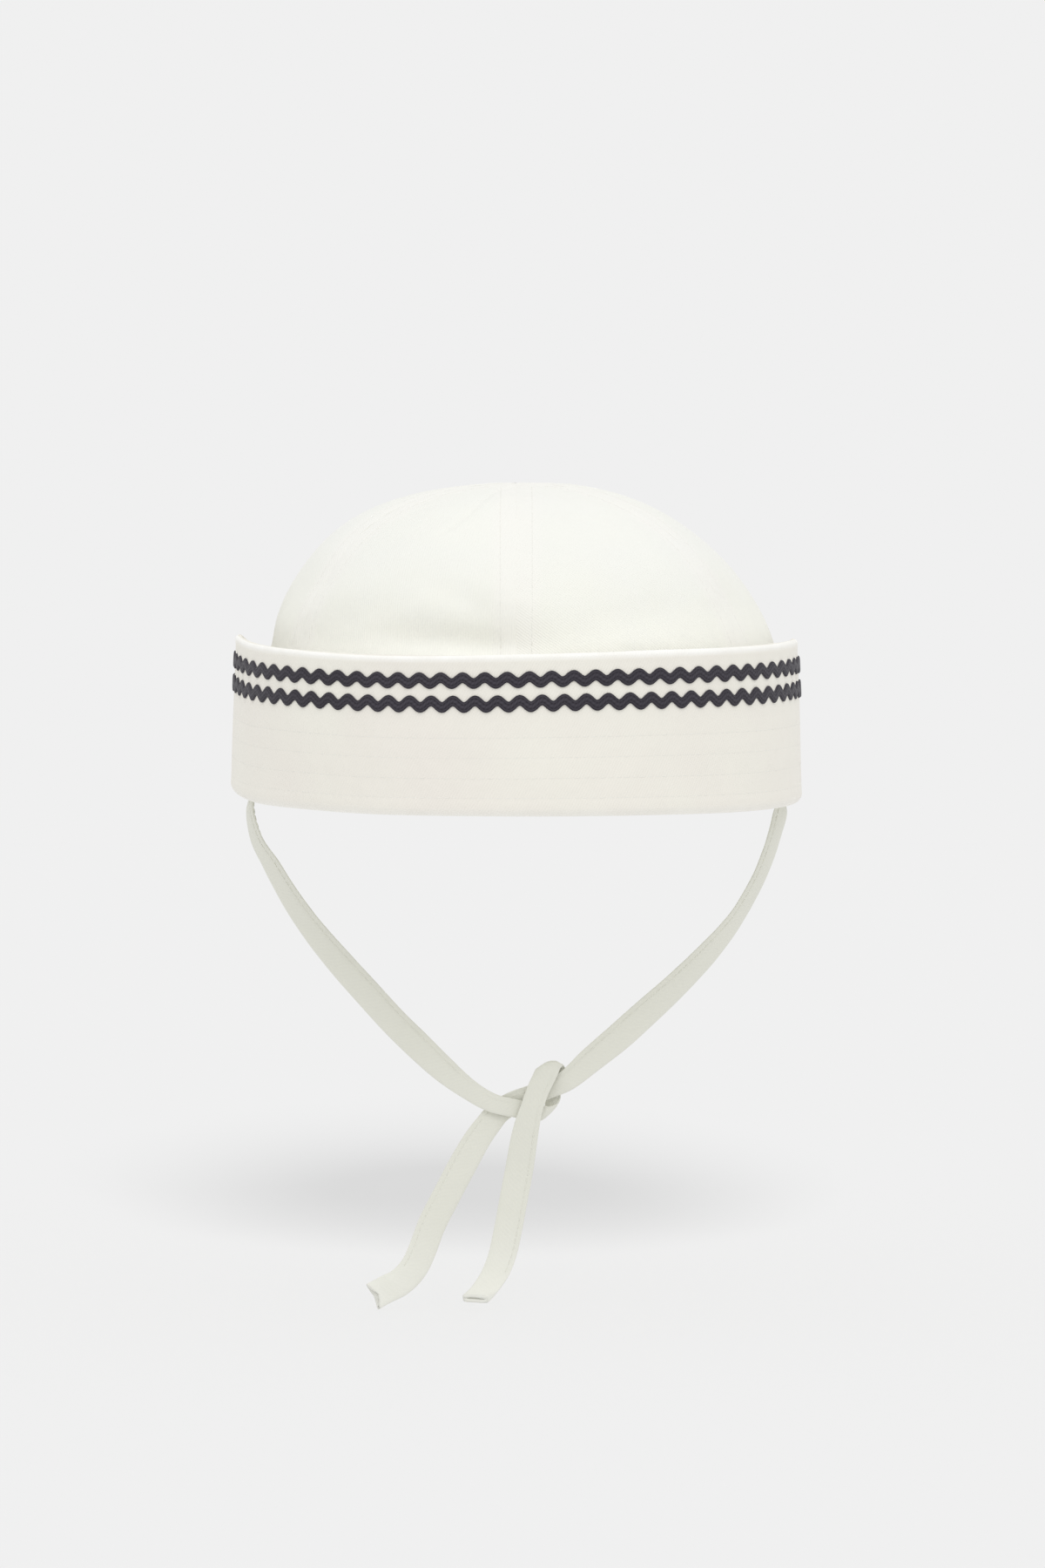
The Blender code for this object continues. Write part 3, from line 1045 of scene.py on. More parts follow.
@dataclass(eq=False)
class Crown:
    """The domed crown of six panels, seamed, pressed open and topstitched."""

    form: CapForm
    finishes: dict[ClothLay, bpy.types.Material]
    thread: bpy.types.Material
    columns: int = 64
    rows: int = 150
    edge_gather: float = 0.5
    row_from_seam: float = 0.0046
    allowance: float = 0.0066
    seam_depth: float = 0.00007
    seam_width: float = 0.0009
    seam_raise: float = 0.00007
    raise_edge: float = 0.0016
    groove_depth: float = 0.00004
    groove_width: float = 0.0006
    pucker: float = 0.00014
    pucker_reach: float = 0.007
    pucker_size: float = 0.0045
    pucker_stretch: float = 0.35
    panel_shift: float = 0.004
    apex_width: float = 0.012
    crease_start: float = 0.12
    crease_span: float = 0.8
    sway: float = 0.0007
    sway_size: float = 0.042
    ripple: float = 0.00022
    ripple_size: float = 0.017
    least_between_rows: float = 0.002125
    mean_azimuth: float = 45
    rise_steps: int = 400
    thread_lean: float = 0.8
    stitching: Stitching = field(default_factory=lambda: Stitching(thread=0.00026, rise_share=0.02))

    PANELS = (
        ("front_right", ClothLay.DIAGONAL),
        ("side_right", ClothLay.STEEP),
        ("back_right", ClothLay.DIAGONAL),
        ("back_left", ClothLay.STEEP),
        ("side_left", ClothLay.DIAGONAL),
        ("front_left", ClothLay.STEEP),
    )

    @property
    def span(self) -> float:
        """Give one panel's width, in degrees."""
        return 360 / len(self.PANELS)

    @lru_cache(maxsize=None)
    def climbed(self, azimuth: float, climb: float) -> tuple[float, float]:
        """Climb the smooth dome.

        Args:
            azimuth: Azimuth of the place.
            climb: How far up, 0 on the seam to the brim and 1 at the apex.

        Returns:
            The share of its full spread that is left there, and the height.
        """
        form = self.form
        power = form.crown_squareness / 2
        seam_height = form.lifted(azimuth, form.brim_hem) + form.clearance
        lowest = math.asin((seam_height / form.crown_height) ** power)
        angle = lowest + (math.pi / 2 - lowest) * climb
        return max(0.0, math.cos(angle)) ** (1 / power), form.crown_height * math.sin(angle) ** (1 / power)

    def bare_point(self, azimuth: float, climb: float) -> Vector:
        """Give a point of the smooth dome, before any seam or dent.

        Args:
            azimuth: Azimuth of the place.
            climb: How far up, 0 on the seam to the brim and 1 at the apex.

        Returns:
            The point.
        """
        spread, height = self.climbed(azimuth, climb)
        outside = self.form.beside_head(azimuth, self.form.crown_wall, 0)
        return Vector((outside.x * spread, outside.y * spread, height))

    def at_height(self, azimuth: float, height_share: float) -> Vector:
        """Give the point of the smooth dome at a height.

        Args:
            azimuth: Azimuth of the place.
            height_share: Share of the crown's height.

        Returns:
            The point.
        """
        power = self.form.crown_squareness / 2
        spread = math.cos(math.asin(height_share**power)) ** (1 / power)
        outside = self.form.beside_head(azimuth, self.form.crown_wall, 0)
        return Vector((outside.x * spread, outside.y * spread, height_share * self.form.crown_height))

    @cached_property
    def rise(self) -> ArcTable:
        """Give the lengths up a seam, from the brim to the apex."""
        return ArcTable(lambda climb: self.bare_point(self.mean_azimuth, climb), 0, 1, self.rise_steps)

    @cached_property
    def crease_lines(self) -> list[tuple[Crease, list[Vector]]]:
        """Give each crease with its points on the dome."""
        return [(crease, [self.at_height(*place) for place in crease.places]) for crease in CREASES]

    def panel_width(self, climb: float) -> float:
        """Give a panel's width at this climb, in metres."""
        spread = self.climbed(self.mean_azimuth, climb)[0]
        return math.radians(self.span) * spread * self.form.mean_radius

    def dents(self, azimuth: float, height: float) -> float:
        """Give how far the soft dents push the crown in.

        Args:
            azimuth: Azimuth of the place.
            height: Height of the place.

        Returns:
            The depth, in metres.
        """
        share = height / self.form.crown_height
        depth = 0.0
        for dent in DENTS + RUMPLES:
            round_it = ((azimuth - dent.azimuth + 180) % 360 - 180) / dent.spread_round
            up_it = (share - dent.height - dent.slant * round_it) / dent.spread_up
            depth += dent.depth * self.form.crown_height * math.exp(-(round_it**2) - up_it**2)
        return depth

    def creases(self, point: Vector) -> float:
        """Give how far the fine creases push the crown in.

        Args:
            point: Point of the smooth dome.

        Returns:
            The depth, in metres.
        """
        depth = 0.0
        for crease, line in self.crease_lines:
            reach = 4 * crease.width
            whole = sum((b - a).length for a, b in zip(line, line[1:]))
            passed, nearest, where = 0.0, reach, 0.0
            for a, b in zip(line, line[1:]):
                step = b - a
                share = max(0.0, min(1.0, (point - a).dot(step) / step.length_squared))
                far = (point - a - step * share).length
                if far < nearest:
                    nearest, where = far, (passed + step.length * share) / whole
                passed += step.length
            if nearest < reach:
                strength = math.sin(math.pi * (self.crease_start + self.crease_span * where))
                depth += crease.depth * bell(nearest, crease.width) * strength
        return depth

    def seam_relief(self, panel: int, from_seam: float, along: float) -> float:
        """Give how far the seam, its allowances and its stitches push the cloth in.

        Args:
            panel: Number of the panel.
            from_seam: Distance from the nearer seam.
            along: Distance up the seam.

        Returns:
            The depth, in metres.
        """
        depth = self.seam_depth * bell(from_seam, self.seam_width)
        depth -= self.seam_raise * ease((self.row_from_seam - from_seam) / self.raise_edge + 0.5)
        in_groove = bell(from_seam - self.row_from_seam, self.groove_width)
        depth += self.groove_depth * self.stitching.tug(along) * in_groove
        along_seam = Vector((self.panel_shift * (panel % 3), from_seam * self.pucker_stretch, along))
        pull = soft_noise(along_seam, self.pucker_size, seed=1.0 + panel)
        return depth + self.pucker * pull * bell(from_seam, self.pucker_reach)

    def point(self, panel: int, across: float, climb: float) -> Vector:
        """Give a point on the outside of a panel.

        Args:
            panel: Number of the panel.
            across: Place between the panel's two seams, 0 to 1.
            climb: Place from the brim to the apex, 0 to 1.

        Returns:
            The point.
        """
        azimuth = (panel + across) * self.span
        point = self.bare_point(azimuth, climb)
        from_seam = min(across, 1 - across) * self.panel_width(climb)
        near_apex = ease(self.panel_width(climb) / self.apex_width)
        relief = self.seam_relief(panel, from_seam, self.rise.length_at(climb)) * near_apex
        inwards = relief + self.dents(azimuth, point.z) + self.creases(point)
        inwards -= self.sway * soft_noise(point, self.sway_size, seed=3.0)
        inwards -= self.ripple * soft_noise(point, self.ripple_size, seed=7.0)
        return point * (1 - inwards / point.length)

    def gathered(self, share: float) -> float:
        """Give the share across a panel with its columns drawn closer together towards the seams."""
        return share * (1 - self.edge_gather) + self.edge_gather * (1 - math.cos(math.pi * share)) / 2

    def build_panel(self, panel: int) -> bpy.types.Object:
        """Build one panel.

        Args:
            panel: Number of the panel.

        Returns:
            The new piece.
        """
        name, lay = self.PANELS[panel]

        def cloth(u: float, v: float) -> tuple[float, float]:
            """Lay the panel flat."""
            return (self.gathered(u) - 0.5) * self.panel_width(v), self.rise.length_at(v)

        def seam(u: float, v: float) -> tuple[float, float]:
            """Measure from the nearer seam and up along it."""
            share = self.gathered(u)
            return min(share, 1 - share) * self.panel_width(v), self.rise.length_at(v)

        bm = PieceKit.laid_grid(
            self.columns, self.rows, lambda u, v: self.point(panel, self.gathered(u), v), cloth, seam
        )
        piece = PieceKit.piece(
            f"twill_panel_{name}", bm, self.finishes[lay], "crown_twill", f"crown_panel_{name}"
        )
        PieceKit.thicken_inwards(piece, self.form.crown_wall)
        return piece

    def build_topstitching(self) -> bpy.types.Object:
        """Build the two rows of stitches beside every seam.

        Returns:
            The new piece.
        """
        bm = bmesh.new()
        pitch = self.stitching.pitch
        for panel in range(len(self.PANELS)):
            for side in (0, 1):
                holes: list[Vector] = []
                count = 0
                while True:
                    climb = self.rise.parameter_at(count * pitch)
                    width = self.panel_width(climb)
                    if climb >= 1 or width < 2 * self.row_from_seam + self.least_between_rows:
                        break
                    share = self.row_from_seam / width
                    holes.append(self.point(panel, 1 - share if side else share, climb))
                    count += 1
                for start, end in zip(holes, holes[1:]):
                    middle = (start + end) / 2
                    outward = Vector((middle.x, middle.y, middle.z * self.thread_lean)).normalized()
                    self.stitching.sew(bm, start, end, outward)
        return PieceKit.piece("crown_topstitching", bm, self.thread, "crown_twill")

    def build(self) -> None:
        """Build the six panels and their stitches."""
        for panel in range(len(self.PANELS)):
            self.build_panel(panel)
        self.build_topstitching()


# The brim


class BrimPlace(NamedTuple):
    """A place on the brim's section: outwards from the head and up, with the direction out of the cloth."""

    outwards: float
    height: float
    out_lean: float
    up_lean: float
    along: float
    outside: bool


@dataclass(eq=False)
class Brim:
    """The band of doubled twill, folded at the rim and turned up round the crown."""

    form: CapForm
    finish: bpy.types.Material
    thread: bpy.types.Material
    columns: int = 1080
    fold_steps: int = 10
    leg_steps: int = 26
    hem_steps: int = 4
    round_steps: int = 5
    stitch_drops: tuple[float, ...] = (0.0230, 0.0286, 0.0343, 0.0398)
    groove_depth: float = 0.00004
    groove_width: float = 0.0007
    pucker: float = 0.00013
    pucker_size: float = 0.0046
    pucker_reach: float = 0.0035
    pucker_stretch: float = 0.4
    sway: float = 0.0006
    sway_size: float = 0.034
    edge_puff: float = 0.00018
    puff_drop: float = 0.0007
    puff_width: float = 0.0009
    join_depth: float = 0.0002
    join_width: float = 0.0006
    inside_drop: float = -0.01
    stitching: Stitching = field(default_factory=lambda: Stitching(thread=0.00020, rise_share=0.02))

    @cached_property
    def section(self) -> list[BrimPlace]:
        """Lay out the closed section of the band, round both faces and both edges of the cloth.

        Returns:
            Its places, in order.
        """
        form = self.form
        half = form.brim_wall / 2
        turn_radius = (form.brim_wall + form.brim_turn) / 2
        fold_out = fold_up = half + turn_radius
        middle: list[tuple[Vector, Vector]] = []
        for k in range(self.hem_steps):
            height = form.brim_hem + (fold_up - form.brim_hem) * k / self.hem_steps
            middle.append((Vector((half, height)), Vector((-1, 0))))
        for k in range(self.fold_steps + 1):
            angle = math.pi * k / self.fold_steps
            outward = Vector((-math.cos(angle), -math.sin(angle)))
            middle.append((Vector((fold_out, fold_up)) + outward * turn_radius, outward))
        top = form.brim_height - half
        lean = Vector((1, form.brim_lean / form.brim_height)).normalized()
        for k in range(1, self.leg_steps + 1):
            height = fold_up + (top - fold_up) * k / self.leg_steps
            middle.append((Vector((form.brim_outside(height) - half, height)), lean))
        loop: list[tuple[Vector, Vector, bool]] = [(place + out * half, out, True) for place, out in middle]
        loop += self._round_end(middle[-1][0], lean, half)
        loop += [(place - out * half, -out, False) for place, out in reversed(middle)]
        loop += self._round_end(middle[0][0], Vector((1, 0)), half, upward=Vector((0, 1)))
        places: list[BrimPlace] = []
        along = 0.0
        for k, (place, out, outside) in enumerate(loop):
            along += (place - loop[k - 1][0]).length if k else 0.0
            places.append(BrimPlace(place.x, place.y, out.x, out.y, along, outside))
        return places

    def _round_end(
        self, centre: Vector, start: Vector, radius: float, upward: Vector | None = None
    ) -> list[tuple[Vector, Vector, bool]]:
        """Round off one edge of the cloth.

        Args:
            centre: Middle of the cloth at its edge.
            start: Direction out of the cloth where the rounding starts.
            radius: Half the cloth's thickness.
            upward: Direction of the edge, if not a quarter turn from the start.

        Returns:
            The places round the edge, each with its direction and whether it is on the outside.
        """
        edge = upward or Vector((-start.y, start.x))
        turned = []
        for k in range(1, self.round_steps):
            angle = math.pi * k / self.round_steps
            out = start * math.cos(angle) + edge * math.sin(angle)
            turned.append((centre + out * radius, out, angle < math.pi / 2))
        return turned

    def relief(self, azimuth: float, arc: float, place: BrimPlace, point: Vector) -> float:
        """Give how far the cloth stands out from its plain section.

        Args:
            azimuth: Azimuth of the place.
            arc: Distance round the brim.
            place: Place on the section.
            point: Point there, which the soft unevenness varies with.

        Returns:
            The distance, in metres.
        """
        form = self.form
        drop = form.brim_height - place.height
        out = 0.0
        if place.height > form.brim_wall + form.brim_turn:
            near = min(abs(drop - row) for row in self.stitch_drops)
            out -= self.groove_depth * self.stitching.tug(arc) * bell(near, self.groove_width)
            lumps = soft_noise(Vector((arc, self.pucker_stretch * drop, 0)), self.pucker_size)
            out += self.pucker * lumps * bell(near, self.pucker_reach)
            out += self.edge_puff * bell(drop - self.puff_drop, self.puff_width)
        join = abs(abs(azimuth) - 180) * math.radians(form.head_width / 2)
        out -= self.join_depth * bell(join, self.join_width)
        side = 1 if place.outside else -1
        return out + side * self.swayed(point, place.height)

    def swayed(self, point: Vector, height: float) -> float:
        """Give how far the band sways outwards at a point of this height on it."""
        return self.sway * soft_noise(point, self.sway_size, seed=5.0) * ease(height / self.form.brim_height)

    def point(self, share: float, place: BrimPlace) -> Vector:
        """Give a point of the brim.

        Args:
            share: Place round the brim, 0 and 1 at the back.
            place: Place on its section.

        Returns:
            The point.
        """
        azimuth = -180 + 360 * share
        plain = self.form.beside_head(azimuth, place.outwards, place.height)
        relief = self.relief(azimuth, self.form.brim_arc.length_at(azimuth), place, plain)
        outwards = place.outwards + relief * place.out_lean
        height = place.height + relief * place.up_lean
        return self.form.beside_head(azimuth, outwards, self.form.lifted(azimuth, height))

    def build_band(self) -> bpy.types.Object:
        """Build the band itself.

        Returns:
            The new piece.
        """
        section = self.section + self.section[:1]
        rows = len(section) - 1
        length = self.section[-1].along

        def place_at(v: float) -> BrimPlace:
            """Give the section's place at this share."""
            return section[round(v * rows)]

        def along(v: float) -> float:
            """Give the distance along the section at this share."""
            return length if v > 1 - 0.5 / rows else place_at(v).along

        def seam(u: float, v: float) -> tuple[float, float]:
            """Measure down from the top edge and round the brim.

            Args:
                u: Share of the way round the brim.
                v: Share of the way round its section.

            Returns:
                The distance down from the top edge and the distance round the brim.
            """
            place = place_at(v)
            drop = self.form.brim_height - place.height if place.outside else self.inside_drop
            return drop, self.form.brim_arc.length_at(-180 + 360 * u)

        bm = PieceKit.laid_grid(
            self.columns,
            rows,
            lambda u, v: self.point(u % 1, place_at(v)),
            lambda u, v: (self.form.brim_arc.length_at(-180 + 360 * u), along(v)),
            seam,
            closed=True,
        )
        return PieceKit.piece("turned_up_brim", bm, self.finish, "brim_twill", "brim")

    def build_stitch_rows(self) -> bpy.types.Object:
        """Build the rows of stitches round the band.

        Returns:
            The new piece.
        """
        bm = bmesh.new()
        arc = self.form.brim_arc
        count = round(arc.total / self.stitching.pitch)
        for drop in self.stitch_drops:
            height = self.form.brim_height - drop
            place = BrimPlace(self.form.brim_outside(height), height, 1.0, 0.0, 0.0, True)
            azimuths = [arc.parameter_at(k * arc.total / count) for k in range(count)]
            holes = [self.point((azimuth + 180) / 360, place) for azimuth in azimuths]
            for k, start in enumerate(holes):
                outward = self.form.outward(azimuths[k])
                self.stitching.sew(bm, start, holes[(k + 1) % count], outward)
        return PieceKit.piece("brim_stitch_rows", bm, self.thread, "brim_twill")

    def build(self) -> None:
        """Build the band and its stitches."""
        self.build_band()
        self.build_stitch_rows()


# The braids


@dataclass(eq=False)
class RicRack:
    """One row of waved braid, sewn round the brim."""

    form: CapForm
    brim: Brim
    finish: bpy.types.Material
    name: str
    drop: float
    shift: float
    waves: int = 83
    drift: float = 1.35
    width: float = 0.00305
    swing: float = 0.00082
    thickness: float = 0.0008
    edge_turn: float = 0.25
    edge_power: float = 0.6
    face_power: float = 0.7
    steps_per_wave: int = 22
    face_steps: int = 14
    sink: float = 0.0002

    def phase(self, azimuth: float) -> float:
        """Give how many waves lie between the front and this azimuth, drawn out a little to the sides."""
        turn = math.radians(azimuth)
        return self.waves * azimuth / 360 - self.drift * math.sin(turn) ** 3 + self.shift

    def point(self, share: float, turn: float) -> Vector:
        """Give a point of the braid.

        Args:
            share: Place round the brim, 0 and 1 at the back.
            turn: Place round the braid's section, 0 to 1.

        Returns:
            The point.
        """
        form = self.form
        azimuth = -180 + 360 * share
        angle = math.tau * self.phase(azimuth)
        aside, face = flat_oval(turn, self.edge_power, self.face_power)
        beside = self.width / 2 * aside
        rise = self.thickness / 2 * (1 + face)
        wave_length = form.brim_arc.total / self.waves
        slope = self.swing * math.tau / wave_length * math.cos(angle) * self.edge_turn
        across = Vector((-slope, 1)).normalized()
        height = form.brim_height - self.drop + self.swing * math.sin(angle) + across.y * beside
        arc = form.brim_arc.length_at(azimuth) + across.x * beside
        shifted = form.brim_arc.parameter_at(arc % form.brim_arc.total)
        outwards = form.brim_outside(height) - self.sink + rise
        plain = form.beside_head(shifted, outwards, height)
        outwards += self.brim.swayed(plain, height)
        return form.beside_head(shifted, outwards, form.lifted(shifted, height))

    def build(self) -> bpy.types.Object:
        """Build the braid.

        Returns:
            The new piece.
        """
        columns = self.waves * self.steps_per_wave
        rows = 2 * self.face_steps
        arc = self.form.brim_arc

        def cloth(u: float, v: float) -> tuple[float, float]:
            """Lay the braid flat: along it, and across from its middle."""
            return arc.length_at(-180 + 360 * u), self.width / 2 * math.cos(math.tau * v)

        bm = PieceKit.laid_grid(
            columns, rows, lambda u, v: self.point(u % 1, v), cloth, lambda u, v: (0.0, 0.0), closed=True
        )
        return PieceKit.piece(f"{self.name}_braid", bm, self.finish, "navy_braid", f"ricrack_{self.name}")


# The chin ties


class Ribbon(NamedTuple):
    """A place on a tie: the ribbon's middle, and which way its width points there.

    width_share is how much of the full width is left where the knot squeezes it. The first place on a tie is
    its sewn end, inside the rim.
    """

    x: float
    y: float
    z: float
    across_x: float
    across_y: float
    across_z: float
    width_share: float


LEFT_TIE = (
    Ribbon(-0.0757, 0.0000, 0.0060, 0.00, -1.00, 0.00, 1.00),
    Ribbon(-0.0758, 0.0000, 0.0010, 0.00, -1.00, 0.00, 1.00),
    Ribbon(-0.0763, 0.0000, -0.0045, 0.24, -0.97, 0.00, 1.00),
    Ribbon(-0.0743, -0.0010, -0.0125, 0.42, -0.90, 0.13, 1.00),
    Ribbon(-0.0707, -0.0030, -0.0185, 0.54, -0.80, 0.27, 1.00),
    Ribbon(-0.0669, -0.0050, -0.0250, 0.61, -0.72, 0.33, 1.00),
    Ribbon(-0.0626, -0.0080, -0.0315, 0.64, -0.62, 0.45, 1.00),
    Ribbon(-0.0575, -0.0110, -0.0382, 0.69, -0.50, 0.52, 1.00),
    Ribbon(-0.0497, -0.0150, -0.0471, 0.72, -0.25, 0.65, 1.00),
    Ribbon(-0.0425, -0.0180, -0.0548, 0.72, -0.10, 0.69, 1.00),
    Ribbon(-0.0352, -0.0210, -0.0625, 0.71, -0.05, 0.71, 1.00),
    Ribbon(-0.0275, -0.0245, -0.0697, 0.67, -0.05, 0.74, 1.00),
    Ribbon(-0.0203, -0.0275, -0.0761, 0.64, -0.10, 0.76, 0.92),
    Ribbon(-0.0133, -0.0312, -0.0812, 0.50, -0.15, 0.84, 0.76),
    Ribbon(-0.0069, -0.0321, -0.0848, 0.36, 0.00, 0.93, 0.68),
    Ribbon(-0.0007, -0.0320, -0.0863, 0.20, 0.00, 0.98, 0.66),
    Ribbon(0.0032, -0.0319, -0.0871, 0.00, 0.00, 1.00, 0.64),
    Ribbon(0.0062, -0.0319, -0.0880, 0.71, 0.00, 0.71, 0.80),
    Ribbon(0.0082, -0.0313, -0.0879, 0.71, 0.00, 0.71, 0.80),
    Ribbon(0.0097, -0.0300, -0.0872, 0.71, 0.00, 0.71, 0.80),
    Ribbon(0.0103, -0.0287, -0.0858, 0.71, 0.00, 0.71, 0.80),
    Ribbon(0.0104, -0.0281, -0.0838, 0.71, 0.00, 0.71, 0.80),
    Ribbon(0.0112, -0.0279, -0.0803, 0.98, 0.00, 0.20, 0.72),
    Ribbon(0.0109, -0.0280, -0.0768, 0.98, 0.00, 0.20, 0.78),
    Ribbon(0.0104, -0.0286, -0.0746, 0.99, 0.00, 0.16, 0.80),
    Ribbon(0.0099, -0.0301, -0.0735, 0.99, 0.00, 0.13, 0.80),
    Ribbon(0.0092, -0.0316, -0.0744, 1.00, 0.00, 0.04, 0.86),
    Ribbon(0.0082, -0.0323, -0.0768, 1.00, 0.00, -0.10, 0.85),
    Ribbon(0.0062, -0.0332, -0.0810, 0.97, 0.00, -0.24, 0.80),
    Ribbon(0.0045, -0.0340, -0.0856, 0.98, 0.00, -0.20, 0.80),
    Ribbon(0.0032, -0.0339, -0.0901, 0.99, 0.00, -0.15, 0.88),
    Ribbon(0.0022, -0.0332, -0.0951, 0.99, 0.00, -0.12, 0.95),
    Ribbon(0.0008, -0.0322, -0.1039, 0.99, 0.00, -0.15, 1.00),
    Ribbon(-0.0007, -0.0320, -0.1119, 0.98, 0.00, -0.20, 1.00),
    Ribbon(-0.0022, -0.0322, -0.1201, 0.98, 0.00, -0.20, 1.00),
    Ribbon(-0.0039, -0.0328, -0.1279, 0.99, 0.00, -0.10, 1.00),
    Ribbon(-0.0059, -0.0342, -0.1330, 0.99, -0.07, -0.10, 1.00),
    Ribbon(-0.0082, -0.0365, -0.1364, 0.97, -0.20, -0.08, 1.00),
    Ribbon(-0.0101, -0.0395, -0.1384, 0.93, -0.36, -0.04, 1.00),
    Ribbon(-0.0116, -0.0425, -0.1394, 0.89, -0.45, 0.00, 1.00),
)
RIGHT_TIE = (
    Ribbon(0.0757, 0.0000, 0.0060, 0.00, -1.00, 0.00, 1.00),
    Ribbon(0.0757, 0.0000, 0.0010, 0.00, -1.00, 0.00, 1.00),
    Ribbon(0.0757, 0.0000, -0.0043, -0.47, -0.88, 0.05, 1.00),
    Ribbon(0.0742, -0.0010, -0.0102, -0.46, -0.88, 0.12, 1.00),
    Ribbon(0.0720, -0.0020, -0.0169, -0.45, -0.88, 0.16, 1.00),
    Ribbon(0.0689, -0.0040, -0.0240, -0.45, -0.87, 0.20, 1.00),
    Ribbon(0.0631, -0.0075, -0.0338, -0.49, -0.82, 0.29, 1.00),
    Ribbon(0.0553, -0.0120, -0.0431, -0.61, -0.62, 0.49, 1.00),
    Ribbon(0.0455, -0.0165, -0.0527, -0.66, -0.40, 0.63, 1.00),
    Ribbon(0.0370, -0.0205, -0.0601, -0.67, -0.15, 0.73, 1.00),
    Ribbon(0.0293, -0.0240, -0.0667, -0.66, -0.05, 0.75, 1.00),
    Ribbon(0.0208, -0.0275, -0.0734, -0.61, -0.10, 0.79, 0.92),
    Ribbon(0.0146, -0.0299, -0.0784, -0.47, 0.00, 0.88, 0.78),
    Ribbon(0.0097, -0.0300, -0.0808, -0.36, 0.00, 0.93, 0.72),
    Ribbon(0.0042, -0.0300, -0.0830, -0.38, 0.00, 0.92, 0.76),
    Ribbon(-0.0007, -0.0300, -0.0850, -0.45, 0.00, 0.89, 0.82),
    Ribbon(-0.0049, -0.0301, -0.0875, -0.71, 0.00, 0.71, 0.85),
    Ribbon(-0.0081, -0.0306, -0.0912, -0.83, 0.00, 0.55, 0.90),
    Ribbon(-0.0111, -0.0312, -0.0953, -0.88, 0.00, 0.47, 0.95),
    Ribbon(-0.0148, -0.0319, -0.1017, -0.89, 0.00, 0.45, 1.00),
    Ribbon(-0.0195, -0.0323, -0.1106, -0.89, 0.00, 0.45, 1.00),
    Ribbon(-0.0240, -0.0325, -0.1195, -0.89, 0.00, 0.45, 1.00),
    Ribbon(-0.0269, -0.0328, -0.1272, -0.93, 0.00, 0.36, 1.00),
    Ribbon(-0.0294, -0.0332, -0.1321, -0.83, 0.00, 0.55, 1.00),
    Ribbon(-0.0331, -0.0338, -0.1358, -0.55, 0.00, 0.83, 1.00),
    Ribbon(-0.0373, -0.0344, -0.1379, -0.35, 0.00, 0.94, 1.00),
    Ribbon(-0.0410, -0.0350, -0.1399, -0.39, 0.00, 0.92, 1.00),
)


